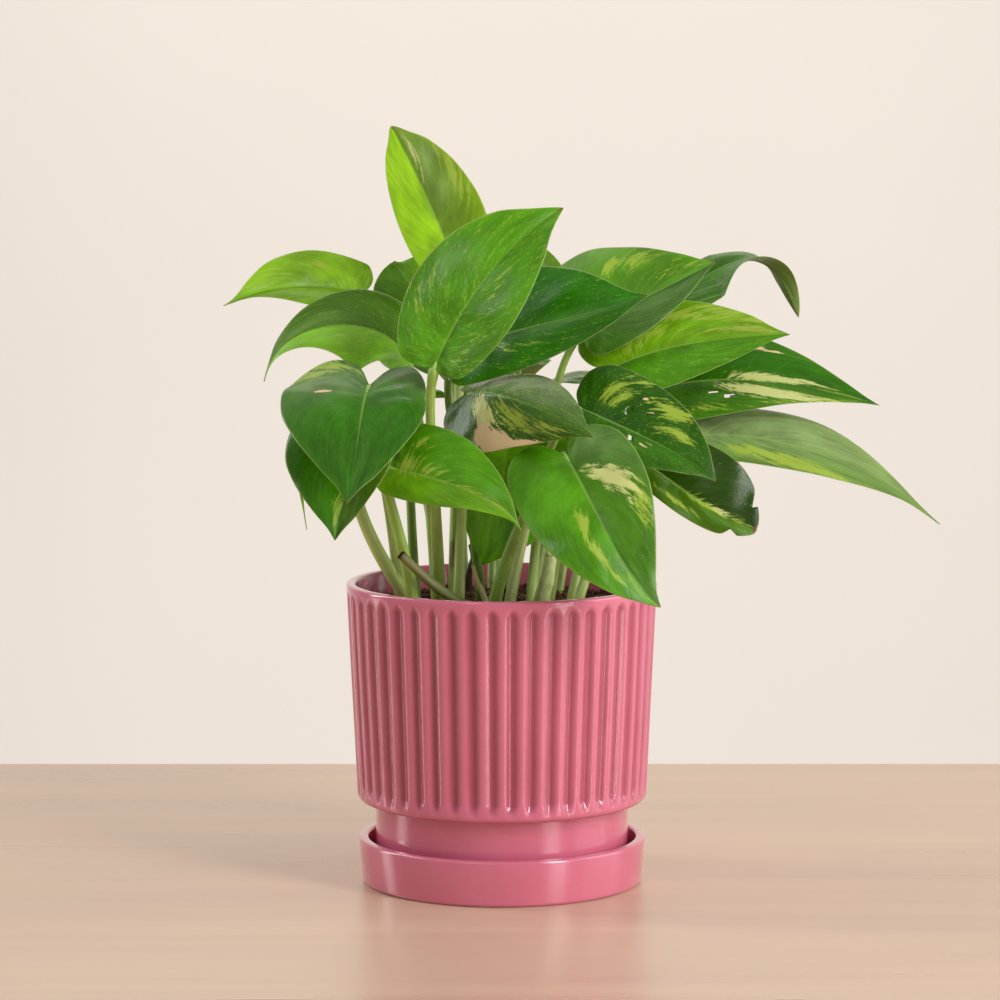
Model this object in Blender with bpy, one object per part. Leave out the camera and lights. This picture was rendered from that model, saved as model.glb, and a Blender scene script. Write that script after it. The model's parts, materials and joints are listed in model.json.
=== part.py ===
"""A pothos plant in a fluted pot that stands in its saucer. Run: blender --background --python part.py

The frame has +Z up and its origin at the centre of the saucer's flat underside. The tables below are in
millimetres and degrees, because that is how the plant is measured, and MM turns them into metres.
"""

import math

import bmesh
import bpy
import numpy as np

MM = 0.001
GAP = 0.3  # air left between pieces that rest on or grow from each other

# The saucer: a shallow dish with a flat floor.
SAUCER_TOP_RADIUS = 60.3
SAUCER_FOOT_RADIUS = 58.6
SAUCER_HEIGHT = 19.2
SAUCER_FLOOR = 4.0
SAUCER_WALL = 4.2
SAUCER_SIDES = 64

# The pot: a fluted body on a narrower plain neck.
RIM_RADIUS = 65.0
BODY_FOOT_RADIUS = 61.0
NECK_RADIUS = 53.0
POT_TOP = 126.2
BODY_FOOT = 34.5
CORNER_HEIGHT = 9.0
POT_WALL = 4.0
POT_FLOOR = 4.5
FOOT_RING_WIDTH = 6.5
FOOT_RING_HEIGHT = 2.2
DRAIN_RADIUS = 6.0
FLUTES = 48
FLUTE_DEPTH = 1.3
FLUTE_TOP = 122.5

# The potting mix fills the pot to a low mound just under the rim.
SOIL_EDGE = 115.5
SOIL_CROWN = 117.5
SOIL_SIDES = 48

LEAF_THICKNESS = 0.6
STALK_RADIUS = 1.5
STALK_POINTS = 9
FOOT_LIFT = 0.6  # keeps the low edge of a leaning stalk's end out of the soil
OUTLINE = (  # the blade's edge from notch to tip: share of its length, share of its half width
    (-0.02, 0.00),
    (-0.13, 0.22),
    (-0.16, 0.55),
    (-0.07, 0.86),
    (0.12, 1.00),
    (0.36, 0.95),
    (0.58, 0.72),
    (0.77, 0.42),
    (0.90, 0.16),
    (1.00, 0.00),
)
ALONG_STEPS, ACROSS_STEPS = 8, 2

# One row a leaf. midrib: four points that the midrib runs through, from the stalk to the tip. faces: the way
# the upper side looks. half_width: left and right of the midrib, tip up. fold: how steeply both halves rise
# from the midrib, and edge: the same slope at the blade's edge. lobe: how deep the heart's lobes are, 1 for
# the plain outline. taper: above 1 for a longer drip tip, below 1 for a blunt one. belly: how much the widest
# place moves towards the tip. twist: how fast the blade turns over beyond its middle. foot: where its stalk
# leaves the soil. bow: how far the stalk swings out on its way up, where it does.
LEAVES = {
    "crown": dict(
        midrib=((-20, 12, 257), (-27, 24, 275), (-37, 36, 296), (-47, 44, 315)),
        faces=(0.1, -0.9, 0.4), half_width=(19, 22), fold=(25, 25), edge=5, lobe=0.8, taper=0.75, belly=0.2, twist=0,
        foot=(-20, 6),
    ),
    "big_centre": dict(
        midrib=((-27, -48, 220), (-17, -46, 240), (0, -42, 263), (25, -32, 283)),
        faces=(-0.1, -0.95, 0.3), half_width=(26, 21), fold=(8, 8), edge=-8, lobe=0.3, taper=0.9, belly=0.5, twist=0,
        foot=(-26, -14),
    ),
    "dark_centre": dict(
        midrib=((-18, -22, 224), (7, -28, 233), (33, -36, 240), (59, -40, 248)),
        faces=(0, -0.75, 0.65), half_width=(35, 21), fold=(8, 8), edge=-15, lobe=0.6, taper=1, belly=0.1, twist=0,
        foot=(-9, 2),
    ),
    "folded": dict(
        midrib=((34, -6, 232), (52, 0, 241), (71, 6, 250), (89, 10, 259)),
        faces=(-0.1, -0.8, 0.6), half_width=(35, 16), fold=(15, 15), edge=-20, lobe=0.4, taper=1, belly=0, twist=0,
        foot=(12, -6),
    ),
    "curled_tip": dict(
        midrib=((62, 50, 236), (86, 53, 250), (108, 48, 258), (126, 38, 234)),
        faces=(0, -0.7, 0.7), half_width=(13, 20), fold=(10, 10), edge=-10, lobe=0.5, taper=0.8, belly=0.3, twist=-170,
        foot=(24, 26),
    ),
    "right_upper": dict(
        midrib=((46, -6, 216), (69, -4, 224), (94, -4, 228), (119, -8, 230)),
        faces=(0, -0.75, 0.65), half_width=(26, 20), fold=(12, 12), edge=-10, lobe=0.8, taper=1, belly=0, twist=0,
        foot=(20, 2),
    ),
    "right_cream": dict(
        midrib=((64, 10, 206), (97, 8, 210), (128, 5, 207), (157, 0, 200)),
        faces=(0, -0.7, 0.7), half_width=(28, 20), fold=(12, 12), edge=-10, lobe=0.8, taper=1.1, belly=-0.2, twist=0,
        foot=(29, -4),
    ),
    "right_long": dict(
        midrib=((74, -6, 187), (111, -6, 186), (147, -10, 174), (181, -16, 152)),
        faces=(0, -0.6, 0.8), half_width=(23, 15), fold=(5, 5), edge=-25, lobe=0.3, taper=1.4, belly=0.2, twist=0,
        foot=(31, -18),
    ),
    "holed": dict(
        midrib=((32, -36, 202), (51, -46, 194), (70, -52, 185), (86, -56, 174)),
        faces=(0.1, -0.8, 0.6), half_width=(27, 17), fold=(15, 15), edge=-15, lobe=0.7, taper=0.9, belly=0, twist=0,
        foot=(3, -22),
    ),
    "ragged": dict(
        midrib=((60, -26, 178), (75, -29, 167), (90, -31, 158), (104, -32, 151)),
        faces=(0.2, -0.9, 0.3), half_width=(24, 10), fold=(10, 10), edge=-10, lobe=0.6, taper=0.5, belly=0.2, twist=0,
        foot=(14, -20),
    ),
    "big_front": dict(
        midrib=((26, -58, 184), (36, -72, 166), (48, -82, 145), (63, -86, 127)),
        faces=(0, -0.85, 0.5), half_width=(26, 28), fold=(8, 8), edge=-10, lobe=1, taper=1, belly=0, twist=0,
        foot=(-4, -34),
    ),
    "blotched": dict(
        midrib=((-13, -34, 208), (0, -48, 208), (17, -64, 203), (36, -80, 194)),
        faces=(-0.27, -0.61, 0.75), half_width=(31, 33), fold=(-15, -38), edge=-30, lobe=2.1, taper=1, belly=0, twist=0,
        foot=(-18, -26),
    ),
    "heart": dict(
        midrib=((-54, -46, 211), (-56, -62, 202), (-58, -78, 187), (-61, -92, 169)),
        faces=(0, -0.6, 0.8), half_width=(26, 35), fold=(10, 10), edge=-20, lobe=3.0, taper=1, belly=0, twist=0,
        foot=(-35, -22), bow=(-30, -1, 0),
    ),
    "under_heart": dict(
        midrib=((-57, -42, 193), (-61, -52, 180), (-64, -60, 165), (-67, -64, 151)),
        faces=(-0.2, -0.9, 0.3), half_width=(17, 28), fold=(25, 25), edge=-10, lobe=1, taper=1, belly=0, twist=0,
        foot=(-42, -12),
    ),
    "low_centre": dict(
        midrib=((-44, -54, 179), (-24, -64, 175), (-5, -73, 168), (8, -77, 156)),
        faces=(0, -0.92, 0.4), half_width=(22, 12), fold=(8, 8), edge=-10, lobe=0.5, taper=1.5, belly=0, twist=0,
        foot=(-36, -32),
    ),
    "hanging": dict(
        midrib=((3, -12, 187), (0, -15, 169), (-4, -17, 151), (-8, -16, 135)),
        faces=(0, -1, 0.2), half_width=(32, 20), fold=(10, 10), edge=-5, lobe=0.8, taper=0.9, belly=0, twist=0,
        foot=(-2, -6),
    ),
    "left_top": dict(
        midrib=((-58, 27, 246), (-78, 23, 248), (-97, 15, 247), (-116, 7, 241)),
        faces=(0, -0.6, 0.8), half_width=(22, 21), fold=(28, 28), edge=0, lobe=0.3, taper=1.4, belly=0.4, twist=0,
        foot=(-36, 8),
    ),
    "left_arch": dict(
        midrib=((-39, -11, 220), (-58, -7, 233), (-83, -9, 230), (-98, -15, 211)),
        faces=(0, -0.7, 0.7), half_width=(24, 24), fold=(10, 10), edge=-15, lobe=0.6, taper=1.8, belly=0, twist=0,
        foot=(-27, -10),
    ),
    "left_slim": dict(
        midrib=((-66, -6, 205), (-78, -8, 198), (-83, -10, 178), (-81, -10, 149)),
        faces=(-0.5, -0.85, 0.3), half_width=(7, 7), fold=(20, 20), edge=-5, lobe=0.8, taper=1.5, belly=0, twist=0,
        foot=(-42, -6),
    ),
    "back_left_small": dict(
        midrib=((-26, 40, 229), (-37, 50, 245), (-44, 58, 253), (-46, 60, 257)),
        faces=(0, -0.9, 0.5), half_width=(20, 20), fold=(10, 10), edge=-5, lobe=0.8, taper=1, belly=0, twist=0,
        foot=(-16, 26),
    ),
    "back_right_small": dict(
        midrib=((8, 40, 232), (10, 44, 248), (12, 48, 260), (14, 50, 267)),
        faces=(0, -0.9, 0.5), half_width=(20, 20), fold=(10, 10), edge=-5, lobe=0.8, taper=1, belly=0, twist=0,
        foot=(4, 26),
    ),
    "back_right": dict(
        midrib=((40, 67, 205), (51, 83, 205), (60, 98, 195), (66, 107, 176)),
        faces=(0.3, 0.4, 0.85), half_width=(24, 24), fold=(12, 12), edge=-15, lobe=0.9, taper=1, belly=0, twist=0,
        foot=(14, 34),
    ),
    "back_left": dict(
        midrib=((-45, 45, 200), (-56, 64, 198), (-66, 78, 186), (-72, 88, 168)),
        faces=(-0.3, 0.4, 0.85), half_width=(26, 26), fold=(12, 12), edge=-15, lobe=0.9, taper=1, belly=0, twist=0,
        foot=(-26, 32),
    ),
    "back_middle": dict(
        midrib=((-4, 62, 214), (-6, 80, 212), (-7, 96, 200), (-8, 106, 180)),
        faces=(0, 0.5, 0.85), half_width=(27, 27), fold=(10, 10), edge=-15, lobe=1, taper=1, belly=0, twist=0,
        foot=(-4, 40),
    ),
    "back_low": dict(
        midrib=((2, 56, 172), (8, 68, 164), (13, 78, 152), (16, 84, 136)),
        faces=(0.2, 0.7, 0.65), half_width=(18, 18), fold=(12, 12), edge=-10, lobe=0.9, taper=1, belly=0, twist=0,
        foot=(24, 40),
    ),
}

# Bare lengths of vine that stand in the soil beside the stalks: the points they run through, and a radius.
CUTTINGS = {
    "vine_cut_end": dict(route=((-12, -34, 119.5), (-20, -37, 124), (-30, -41, 132), (-41, -45, 143)), radius=1.9),
    "vine_node": dict(route=((16, -29, 118.4), (17, -31, 125), (19, -32, 133), (20, -31, 141)), radius=3.0),
    "sheath_dry": dict(route=((-6, -40, 117), (-7, -39, 124), (-10, -38, 131), (-12, -37, 138)), radius=1.1),
    "twig_dark": dict(route=((-14, 24, 118), (-14, 23, 126), (-12, 22, 133), (-13, 21, 139)), radius=1.4),
}


def unit(vectors):
    """The same vectors with length 1."""
    vectors = np.asarray(vectors, float)
    return vectors / np.linalg.norm(vectors, axis=-1, keepdims=True)


def curve_through(points, t):
    """Points at t, from 0 to 1, on a smooth curve through all of points, spaced evenly in t (Catmull-Rom)."""
    points = np.asarray(points, float)
    last = len(points) - 1
    padded = np.vstack([2 * points[0] - points[1], points, 2 * points[-1] - points[-2]])
    at = np.clip(np.asarray(t, float) * last, 0, last)
    start = np.minimum(at.astype(int), last - 1)
    s = (at - start)[..., None]
    a, b, c, d = (padded[start + k] for k in range(4))
    return 0.5 * (2 * b + (c - a) * s + (2 * a - 5 * b + 4 * c - d) * s**2 + (3 * b - a - 3 * c + d) * s**3)


def midrib_at(midrib, u):
    """Points and directions at u on the cubic through the four midrib points; below 0 it runs on straight."""
    cubic = np.linalg.solve(np.vander([0, 1 / 3, 2 / 3, 1], 4, increasing=True), np.asarray(midrib, float))
    inside = np.maximum(u, 0)[..., None]
    points = cubic[0] + inside * (cubic[1] + inside * (cubic[2] + inside * cubic[3]))
    slopes = cubic[1] + inside * (2 * cubic[2] + inside * 3 * cubic[3])
    return points + np.minimum(u, 0)[..., None] * slopes, unit(slopes)


def blade_points(leaf, along, across, side):
    """Points of one half of the blade: along runs from the notch to the tip, across from midrib to edge.

    side is 1 for the half on the left with the tip up, and -1 for the other.
    """
    edge = curve_through(OUTLINE, along)
    edge_x = np.where(edge[..., 0] < 0, edge[..., 0] * leaf["lobe"], edge[..., 0])
    rib_x = 0.97 * along**2
    x = rib_x + (edge_x - rib_x) * across**1.25
    out = np.maximum(edge[..., 1], 0) ** np.where(along > 0.5, leaf["taper"], 1) * across
    out = out * (1 + leaf["belly"] * 2 * (np.clip(x, 0, 0.8) - 0.35))
    centre, forward = midrib_at(leaf["midrib"], x)
    chord = np.subtract(leaf["midrib"][3], leaf["midrib"][0])
    aside = unit(np.cross(leaf["faces"], chord))
    aside = unit(aside - forward * (forward @ aside)[..., None])
    up = np.cross(forward, aside)
    turn = np.radians(leaf["twist"]) * np.clip(x - 0.4, 0, 1)
    cos, sin = np.cos(turn)[..., None], np.sin(turn)[..., None]
    aside, up = aside * cos + up * sin, up * cos - aside * sin
    half = 0 if side > 0 else 1
    fold = math.radians(leaf["fold"][half])
    slope = math.radians(leaf["edge"]) - fold
    width = leaf["half_width"][half]
    sideways = width * (np.sin(fold + slope * out) - math.sin(fold)) / slope
    rise = width * (math.cos(fold) - np.cos(fold + slope * out)) / slope
    return centre + side * sideways[..., None] * aside + rise[..., None] * up


def blade_frame(leaf):
    """Where the stalk meets the blade: the point, the way the midrib sets off, and the way the blade faces."""
    point, forward = midrib_at(leaf["midrib"], np.zeros(1))
    up = np.asarray(leaf["faces"], float)
    return point[0], forward[0], unit(up - forward[0] * (forward[0] @ up))


def soil_height(x, y):
    """The height of the soil's mound at a place."""
    return SOIL_CROWN - (SOIL_CROWN - SOIL_EDGE) * (x * x + y * y) / (RIM_RADIUS - POT_WALL) ** 2


def stalk_route(leaf, count):
    """Points along the leaf's stalk, from the soil up to just behind the blade."""
    point, forward, up = blade_frame(leaf)
    x, y = leaf["foot"]
    foot = np.array([x, y, soil_height(x, y) + GAP + FOOT_LIFT])
    leaving = unit(-forward - 0.9 * up)
    top = point + leaving * (STALK_RADIUS + LEAF_THICKNESS + 2 * GAP)
    reach = np.linalg.norm(top - foot)
    lean = unit(0.5 * (top - foot) * (1, 1, 0) + (0, 0, reach))
    bow = np.asarray(leaf.get("bow", (0, 0, 0)))
    rise = foot + lean * 0.45 * reach + bow
    knee = top + leaving * 0.22 * reach + 0.5 * bow
    t = np.linspace(0, 1, count)[:, None]
    return (1 - t) ** 3 * foot + 3 * (1 - t) ** 2 * t * rise + 3 * (1 - t) * t**2 * knee + t**3 * top


def material(name, colour, roughness, metallic=0.0):
    made = bpy.data.materials.new(name)
    made.use_nodes = True
    shader = made.node_tree.nodes["Principled BSDF"]
    shader.inputs["Base Color"].default_value = (*colour, 1)
    shader.inputs["Roughness"].default_value = roughness
    shader.inputs["Metallic"].default_value = metallic
    return made


def add_object(name, data, look, parent):
    made = bpy.data.objects.new(name, data)
    data.materials.append(look)
    made.parent = parent
    bpy.context.scene.collection.objects.link(made)
    return made


def turned(name, profile, sides, look, parent, radius_at=None):
    """A solid turned about the Z axis from profile, a closed loop of (radius, height) that runs up its outside.

    radius_at(radius, height, angle) may change a point's radius, as flutes do. A loop's points on the axis
    close the solid there.
    """
    mesh = bmesh.new()
    rings = []
    for radius, height in profile:
        if radius == 0:
            rings.append([mesh.verts.new((0, 0, height * MM))] * sides)
            continue
        ring = []
        for k in range(sides):
            angle = 2 * math.pi * k / sides
            r = radius_at(radius, height, angle) if radius_at else radius
            ring.append(mesh.verts.new((r * MM * math.cos(angle), r * MM * math.sin(angle), height * MM)))
        rings.append(ring)
    closed = profile[0][0] != 0
    for low, high in zip(rings, rings[1:] + rings[:1] if closed else rings[1:]):
        for k in range(sides):
            corners = [low[k], low[(k + 1) % sides], high[(k + 1) % sides], high[k]]
            mesh.faces.new(list(dict.fromkeys(corners)))
    data = bpy.data.meshes.new(name)
    mesh.to_mesh(data)
    mesh.free()
    data.shade_smooth()
    data.set_sharp_from_angle(angle=math.radians(35))
    return add_object(name, data, look, parent)


def make_saucer(look, parent):
    wall_foot = SAUCER_TOP_RADIUS - SAUCER_WALL
    profile = (
        (0, 0),
        (SAUCER_FOOT_RADIUS - 1.5, 0),
        (SAUCER_FOOT_RADIUS, 1.5),
        (SAUCER_TOP_RADIUS, SAUCER_HEIGHT - 1.5),
        (SAUCER_TOP_RADIUS - 1.2, SAUCER_HEIGHT),
        (wall_foot + 1.2, SAUCER_HEIGHT),
        (wall_foot, SAUCER_HEIGHT - 1.5),
        (wall_foot - 0.6, SAUCER_FLOOR + 1.5),
        (wall_foot - 2.0, SAUCER_FLOOR),
        (0, SAUCER_FLOOR),
    )
    return turned("saucer", profile, SAUCER_SIDES, look, parent)


def body_radius(height):
    """The outside radius over the flutes' ridges, which narrows towards the foot."""
    share = (height - BODY_FOOT - CORNER_HEIGHT) / (POT_TOP - BODY_FOOT - CORNER_HEIGHT)
    return BODY_FOOT_RADIUS + (RIM_RADIUS - BODY_FOOT_RADIUS) * share


def make_pot(look, parent):
    foot = SAUCER_FLOOR + GAP
    underside = foot + FOOT_RING_HEIGHT
    floor = underside + POT_FLOOR
    corner = BODY_FOOT + CORNER_HEIGHT
    inside_neck = NECK_RADIUS - POT_WALL
    profile = (
        (DRAIN_RADIUS, underside),
        (NECK_RADIUS - FOOT_RING_WIDTH, underside),
        (NECK_RADIUS - FOOT_RING_WIDTH + 0.8, foot),
        (NECK_RADIUS - 1.5, foot),
        (NECK_RADIUS, foot + 1.5),
        (NECK_RADIUS, BODY_FOOT),
        (BODY_FOOT_RADIUS - 5.0, BODY_FOOT + 0.4),
        (BODY_FOOT_RADIUS - 1.8, BODY_FOOT + 3.0),
        (body_radius(corner), corner),
        (body_radius(FLUTE_TOP - 2), FLUTE_TOP - 2),
        (body_radius(FLUTE_TOP), FLUTE_TOP),
        (RIM_RADIUS, POT_TOP - 1.6),
        (RIM_RADIUS - 1.2, POT_TOP),
        (RIM_RADIUS - POT_WALL + 1.2, POT_TOP),
        (RIM_RADIUS - POT_WALL, POT_TOP - 1.6),
        (BODY_FOOT_RADIUS - POT_WALL, corner + 2),
        (inside_neck, BODY_FOOT + POT_WALL),
        (inside_neck, floor + 3),
        (inside_neck - 3, floor),
        (DRAIN_RADIUS, floor),
    )

    def fluted(radius, height, angle):
        on_flutes = corner - 1 < height < FLUTE_TOP - 1 and radius > BODY_FOOT_RADIUS - 0.5
        return radius - FLUTE_DEPTH * (0.5 - 0.5 * math.cos(FLUTES * angle)) if on_flutes else radius

    return turned("pot", profile, 2 * FLUTES, look, parent, fluted)


def make_soil(look, parent):
    foot = SAUCER_FLOOR + GAP
    floor = foot + FOOT_RING_HEIGHT + POT_FLOOR + GAP
    inside_neck = NECK_RADIUS - POT_WALL - GAP
    corner = BODY_FOOT + CORNER_HEIGHT
    edge_share = (SOIL_EDGE - corner - 2) / (POT_TOP - 1.6 - corner - 2)
    top_radius = BODY_FOOT_RADIUS + (RIM_RADIUS - BODY_FOOT_RADIUS) * edge_share - POT_WALL - GAP
    profile = [(0, floor), (inside_neck - 3.2, floor), (inside_neck, floor + 3.2)]
    profile += [(inside_neck, BODY_FOOT + POT_WALL + GAP), (BODY_FOOT_RADIUS - POT_WALL - GAP, corner + 2 + GAP)]
    profile += [(top_radius * share, soil_height(top_radius * share, 0)) for share in (1, 0.66, 0.33)]
    profile += [(0, SOIL_CROWN)]
    return turned("soil", profile, SOIL_SIDES, look, parent)


def make_blade(name, leaf, look, parent):
    """The leaf's blade: a sheet of quads over both halves, thickened evenly to both sides."""
    along, across = np.meshgrid(np.linspace(0, 1, ALONG_STEPS + 1), np.linspace(0, 1, ACROSS_STEPS + 1), indexing="ij")
    mesh = bmesh.new()
    for side in (1, -1):
        points = blade_points(leaf, along, across, side) * MM
        grid = [[mesh.verts.new(p) for p in row] for row in points]
        for here, there in zip(grid, grid[1:]):
            for k in range(ACROSS_STEPS):
                corners = (here[k], there[k], there[k + 1], here[k + 1])
                mesh.faces.new(corners if side > 0 else corners[::-1])
    bmesh.ops.remove_doubles(mesh, verts=mesh.verts, dist=0.01 * MM)
    data = bpy.data.meshes.new(name)
    mesh.to_mesh(data)
    mesh.free()
    data.shade_smooth()
    blade = add_object(name, data, look, parent)
    thicken = blade.modifiers.new("Thickness", "SOLIDIFY")
    thicken.thickness = LEAF_THICKNESS * MM
    thicken.offset = 0
    return blade


def make_stem(name, route, radius, look, parent):
    """A round stem along route, with flat ends."""
    data = bpy.data.curves.new(name, "CURVE")
    data.dimensions = "3D"
    data.bevel_depth = radius * MM
    data.bevel_resolution = 1
    data.use_fill_caps = True
    spline = data.splines.new("POLY")
    spline.points.add(len(route) - 1)
    for point, place in zip(spline.points, route):
        point.co = (*(np.asarray(place) * MM), 1)
    return add_object(name, data, look, parent)


def main():
    for old in list(bpy.data.objects):
        bpy.data.objects.remove(old, do_unlink=True)
    plant = bpy.data.objects.new("potted_pothos", None)
    bpy.context.scene.collection.objects.link(plant)
    glaze = material("pink_glaze", (0.60, 0.16, 0.22), 0.3)
    soil = material("potting_mix", (0.06, 0.03, 0.02), 0.95)
    leaf_green = material("leaf_green", (0.06, 0.22, 0.02), 0.35)
    stalk_green = material("stalk_green", (0.30, 0.42, 0.08), 0.45)
    make_saucer(glaze, plant)
    make_pot(glaze, plant)
    make_soil(soil, plant)
    for name, leaf in LEAVES.items():
        make_blade(f"leaf_{name}", leaf, leaf_green, plant)
        make_stem(f"stalk_{name}", stalk_route(leaf, STALK_POINTS), STALK_RADIUS, stalk_green, plant)
    for name, cutting in CUTTINGS.items():
        route = curve_through(cutting["route"], np.linspace(0, 1, STALK_POINTS))
        make_stem(name, route, cutting["radius"], stalk_green, plant)


if __name__ == "__main__":
    main()
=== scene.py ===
import json
import math

import bmesh
import bpy
import numpy as np
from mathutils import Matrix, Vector

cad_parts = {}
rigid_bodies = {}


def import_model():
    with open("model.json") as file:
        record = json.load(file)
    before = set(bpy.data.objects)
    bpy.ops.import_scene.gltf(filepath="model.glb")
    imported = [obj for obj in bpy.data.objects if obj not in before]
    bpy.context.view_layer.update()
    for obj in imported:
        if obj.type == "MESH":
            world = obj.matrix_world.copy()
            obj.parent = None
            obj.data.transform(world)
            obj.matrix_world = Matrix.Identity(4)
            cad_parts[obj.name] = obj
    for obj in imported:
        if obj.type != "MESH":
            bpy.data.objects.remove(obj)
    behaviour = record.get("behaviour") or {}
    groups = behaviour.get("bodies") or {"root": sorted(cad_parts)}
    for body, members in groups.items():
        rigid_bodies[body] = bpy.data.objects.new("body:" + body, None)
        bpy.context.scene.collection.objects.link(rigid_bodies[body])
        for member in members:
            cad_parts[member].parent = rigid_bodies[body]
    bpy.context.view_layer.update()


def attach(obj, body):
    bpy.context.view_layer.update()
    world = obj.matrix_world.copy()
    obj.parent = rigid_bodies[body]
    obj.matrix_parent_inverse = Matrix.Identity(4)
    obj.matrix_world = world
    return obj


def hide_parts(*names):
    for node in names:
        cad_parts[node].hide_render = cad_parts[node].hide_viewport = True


# A potted pothos: green and cream leaves on pale stalks, in a fluted pink pot that stands in its saucer.
# Lengths in the tables are in millimetres and angles in degrees; mm turns them into metres.
for old in list(bpy.data.objects):
    bpy.data.objects.remove(old, do_unlink=True)
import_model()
mm = 0.001
dice = np.random.default_rng(7)


# ---- numbers and curves -----------------------------------------------------------------------------------

def unit(vectors):
    # the same vectors with length 1
    vectors = np.asarray(vectors, float)
    return vectors / np.linalg.norm(vectors, axis=-1, keepdims=True)


def smooth(low, high, x):
    # 0 below low, 1 above high, and an S curve between: 3t^2 - 2t^3
    t = np.clip((x - low) / (high - low), 0, 1)
    return t * t * (3 - 2 * t)


def linear(colour):
    # a screen colour, 0 to 255, as the light it stands for: ((c + 0.055) / 1.055)^2.4
    c = np.asarray(colour, float) / 255
    return np.where(c <= 0.04045, c / 12.92, ((c + 0.055) / 1.055) ** 2.4)


def curveThrough(points, t):
    # a smooth curve through all the points, evenly spaced in t from 0 to 1: a Catmull-Rom cubic in each span
    points = np.asarray(points, float)
    last = len(points) - 1
    padded = np.vstack([2 * points[0] - points[1], points, 2 * points[-1] - points[-2]])
    at = np.clip(np.asarray(t, float) * last, 0, last)
    start = np.minimum(at.astype(int), last - 1)
    s = (at - start)[..., None]
    a, b, c, d = (padded[start + k] for k in range(4))
    return 0.5 * (2 * b + (c - a) * s + (2 * a - 5 * b + 4 * c - d) * s**2 + (3 * b - a - 3 * c + d) * s**3)


def waves(place, scale, seed, count=24):
    # smooth unevenness from -1 to 1: a sum of sines of the place in random directions, about scale metres long
    rng = np.random.default_rng(seed)
    push = unit(rng.normal(size=(count, 3))) * rng.uniform(0.6, 1.6, (count, 1)) * 2 * math.pi / scale
    return np.sin(place @ push.T + rng.uniform(0, 2 * math.pi, count)).sum(-1) / math.sqrt(count)


# ---- meshes -----------------------------------------------------------------------------------------------

def gridFaces(rows, columns, wrap=False):
    # the four corners of every cell of a grid of points, the last column joined to the first where wrap is set
    i, j = np.meshgrid(np.arange(rows - 1), np.arange(columns if wrap else columns - 1), indexing="ij")
    k = (j + 1) % columns
    return np.stack([i * columns + j, i * columns + k, (i + 1) * columns + k, (i + 1) * columns + j], -1).reshape(-1, 4)


def joined(parts):
    # several (points, faces, marks) as one; marks are named values, one row a point
    counts = np.cumsum([0] + [len(points) for points, faces, marks in parts])
    points = np.concatenate([part[0] for part in parts])
    faces = np.concatenate([part[1] + start for part, start in zip(parts, counts)])
    marks = {key: np.concatenate([part[2][key] for part in parts]) for key in parts[0][2]}
    return points, faces, marks


def addPiece(name, parts, look, node, body="root"):
    # one mesh from its parts: points closer than 1 micrometre become one, and faces are turned outward
    points, faces, marks = joined(parts)
    keys, first, same = np.unique(np.round(points * 1e6).astype(np.int64), axis=0, return_index=True, return_inverse=True)
    faces = same.reshape(-1)[faces]
    corners = [list(dict.fromkeys(face)) for face in faces.tolist()]
    data = bpy.data.meshes.new(name)
    data.from_pydata(points[first].tolist(), [], [face for face in corners if len(face) > 2])
    for key, values in marks.items():
        values = np.asarray(values, np.float32)[first]
        kind = {1: "FLOAT", 3: "FLOAT_VECTOR", 4: "FLOAT_COLOR"}[values.shape[1]]
        layer = data.attributes.new(key, kind, "POINT")
        layer.data.foreach_set({1: "value", 3: "vector", 4: "color"}[values.shape[1]], values.ravel())
    mesh = bmesh.new()
    mesh.from_mesh(data)
    bmesh.ops.recalc_face_normals(mesh, faces=mesh.faces)
    mesh.to_mesh(data)
    mesh.free()
    data.shade_smooth()
    data.materials.append(look)
    piece = bpy.data.objects.new(name, data)
    bpy.context.scene.collection.objects.link(piece)
    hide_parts(node)
    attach(piece, body)
    return piece


def tube(path, radius, sides, upward, groove=0.0, marks=None):
    # a round bar along a path: rings of radius(t) square to the path, hollowed by groove on the upward side,
    # with one point closing each end
    t = np.linspace(0, 1, len(path))
    ahead = unit(np.gradient(path, axis=0))
    aside = unit(np.cross(np.broadcast_to(upward, ahead.shape), ahead))
    above = np.cross(ahead, aside)
    angle = np.linspace(0, 2 * math.pi, sides, endpoint=False)
    turn = (angle + math.pi) % (2 * math.pi) - math.pi
    size = radius[:, None] * (1 - groove * np.exp(-((turn / 0.5) ** 2)))
    ring = size[..., None] * (np.cos(angle)[:, None] * above[:, None] + np.sin(angle)[:, None] * aside[:, None])
    rings = path[:, None] + ring
    cap = [np.repeat(path[k:k + 1, None], sides, 1) for k in (0, -1)]
    points = np.concatenate([cap[0], rings, cap[1]])
    run = np.concatenate([[0], t, [1]])
    place = np.stack(np.broadcast_arrays(run[:, None], np.cos(angle), np.sin(angle)), -1)
    values = {"place": place.reshape(-1, 3)}
    for key, value in (marks or {}).items():
        values[key] = np.tile(np.asarray(value, float), (points.shape[0] * sides, 1))
    return points.reshape(-1, 3), gridFaces(len(points), sides, wrap=True), values


# ---- shaders ----------------------------------------------------------------------------------------------

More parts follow.
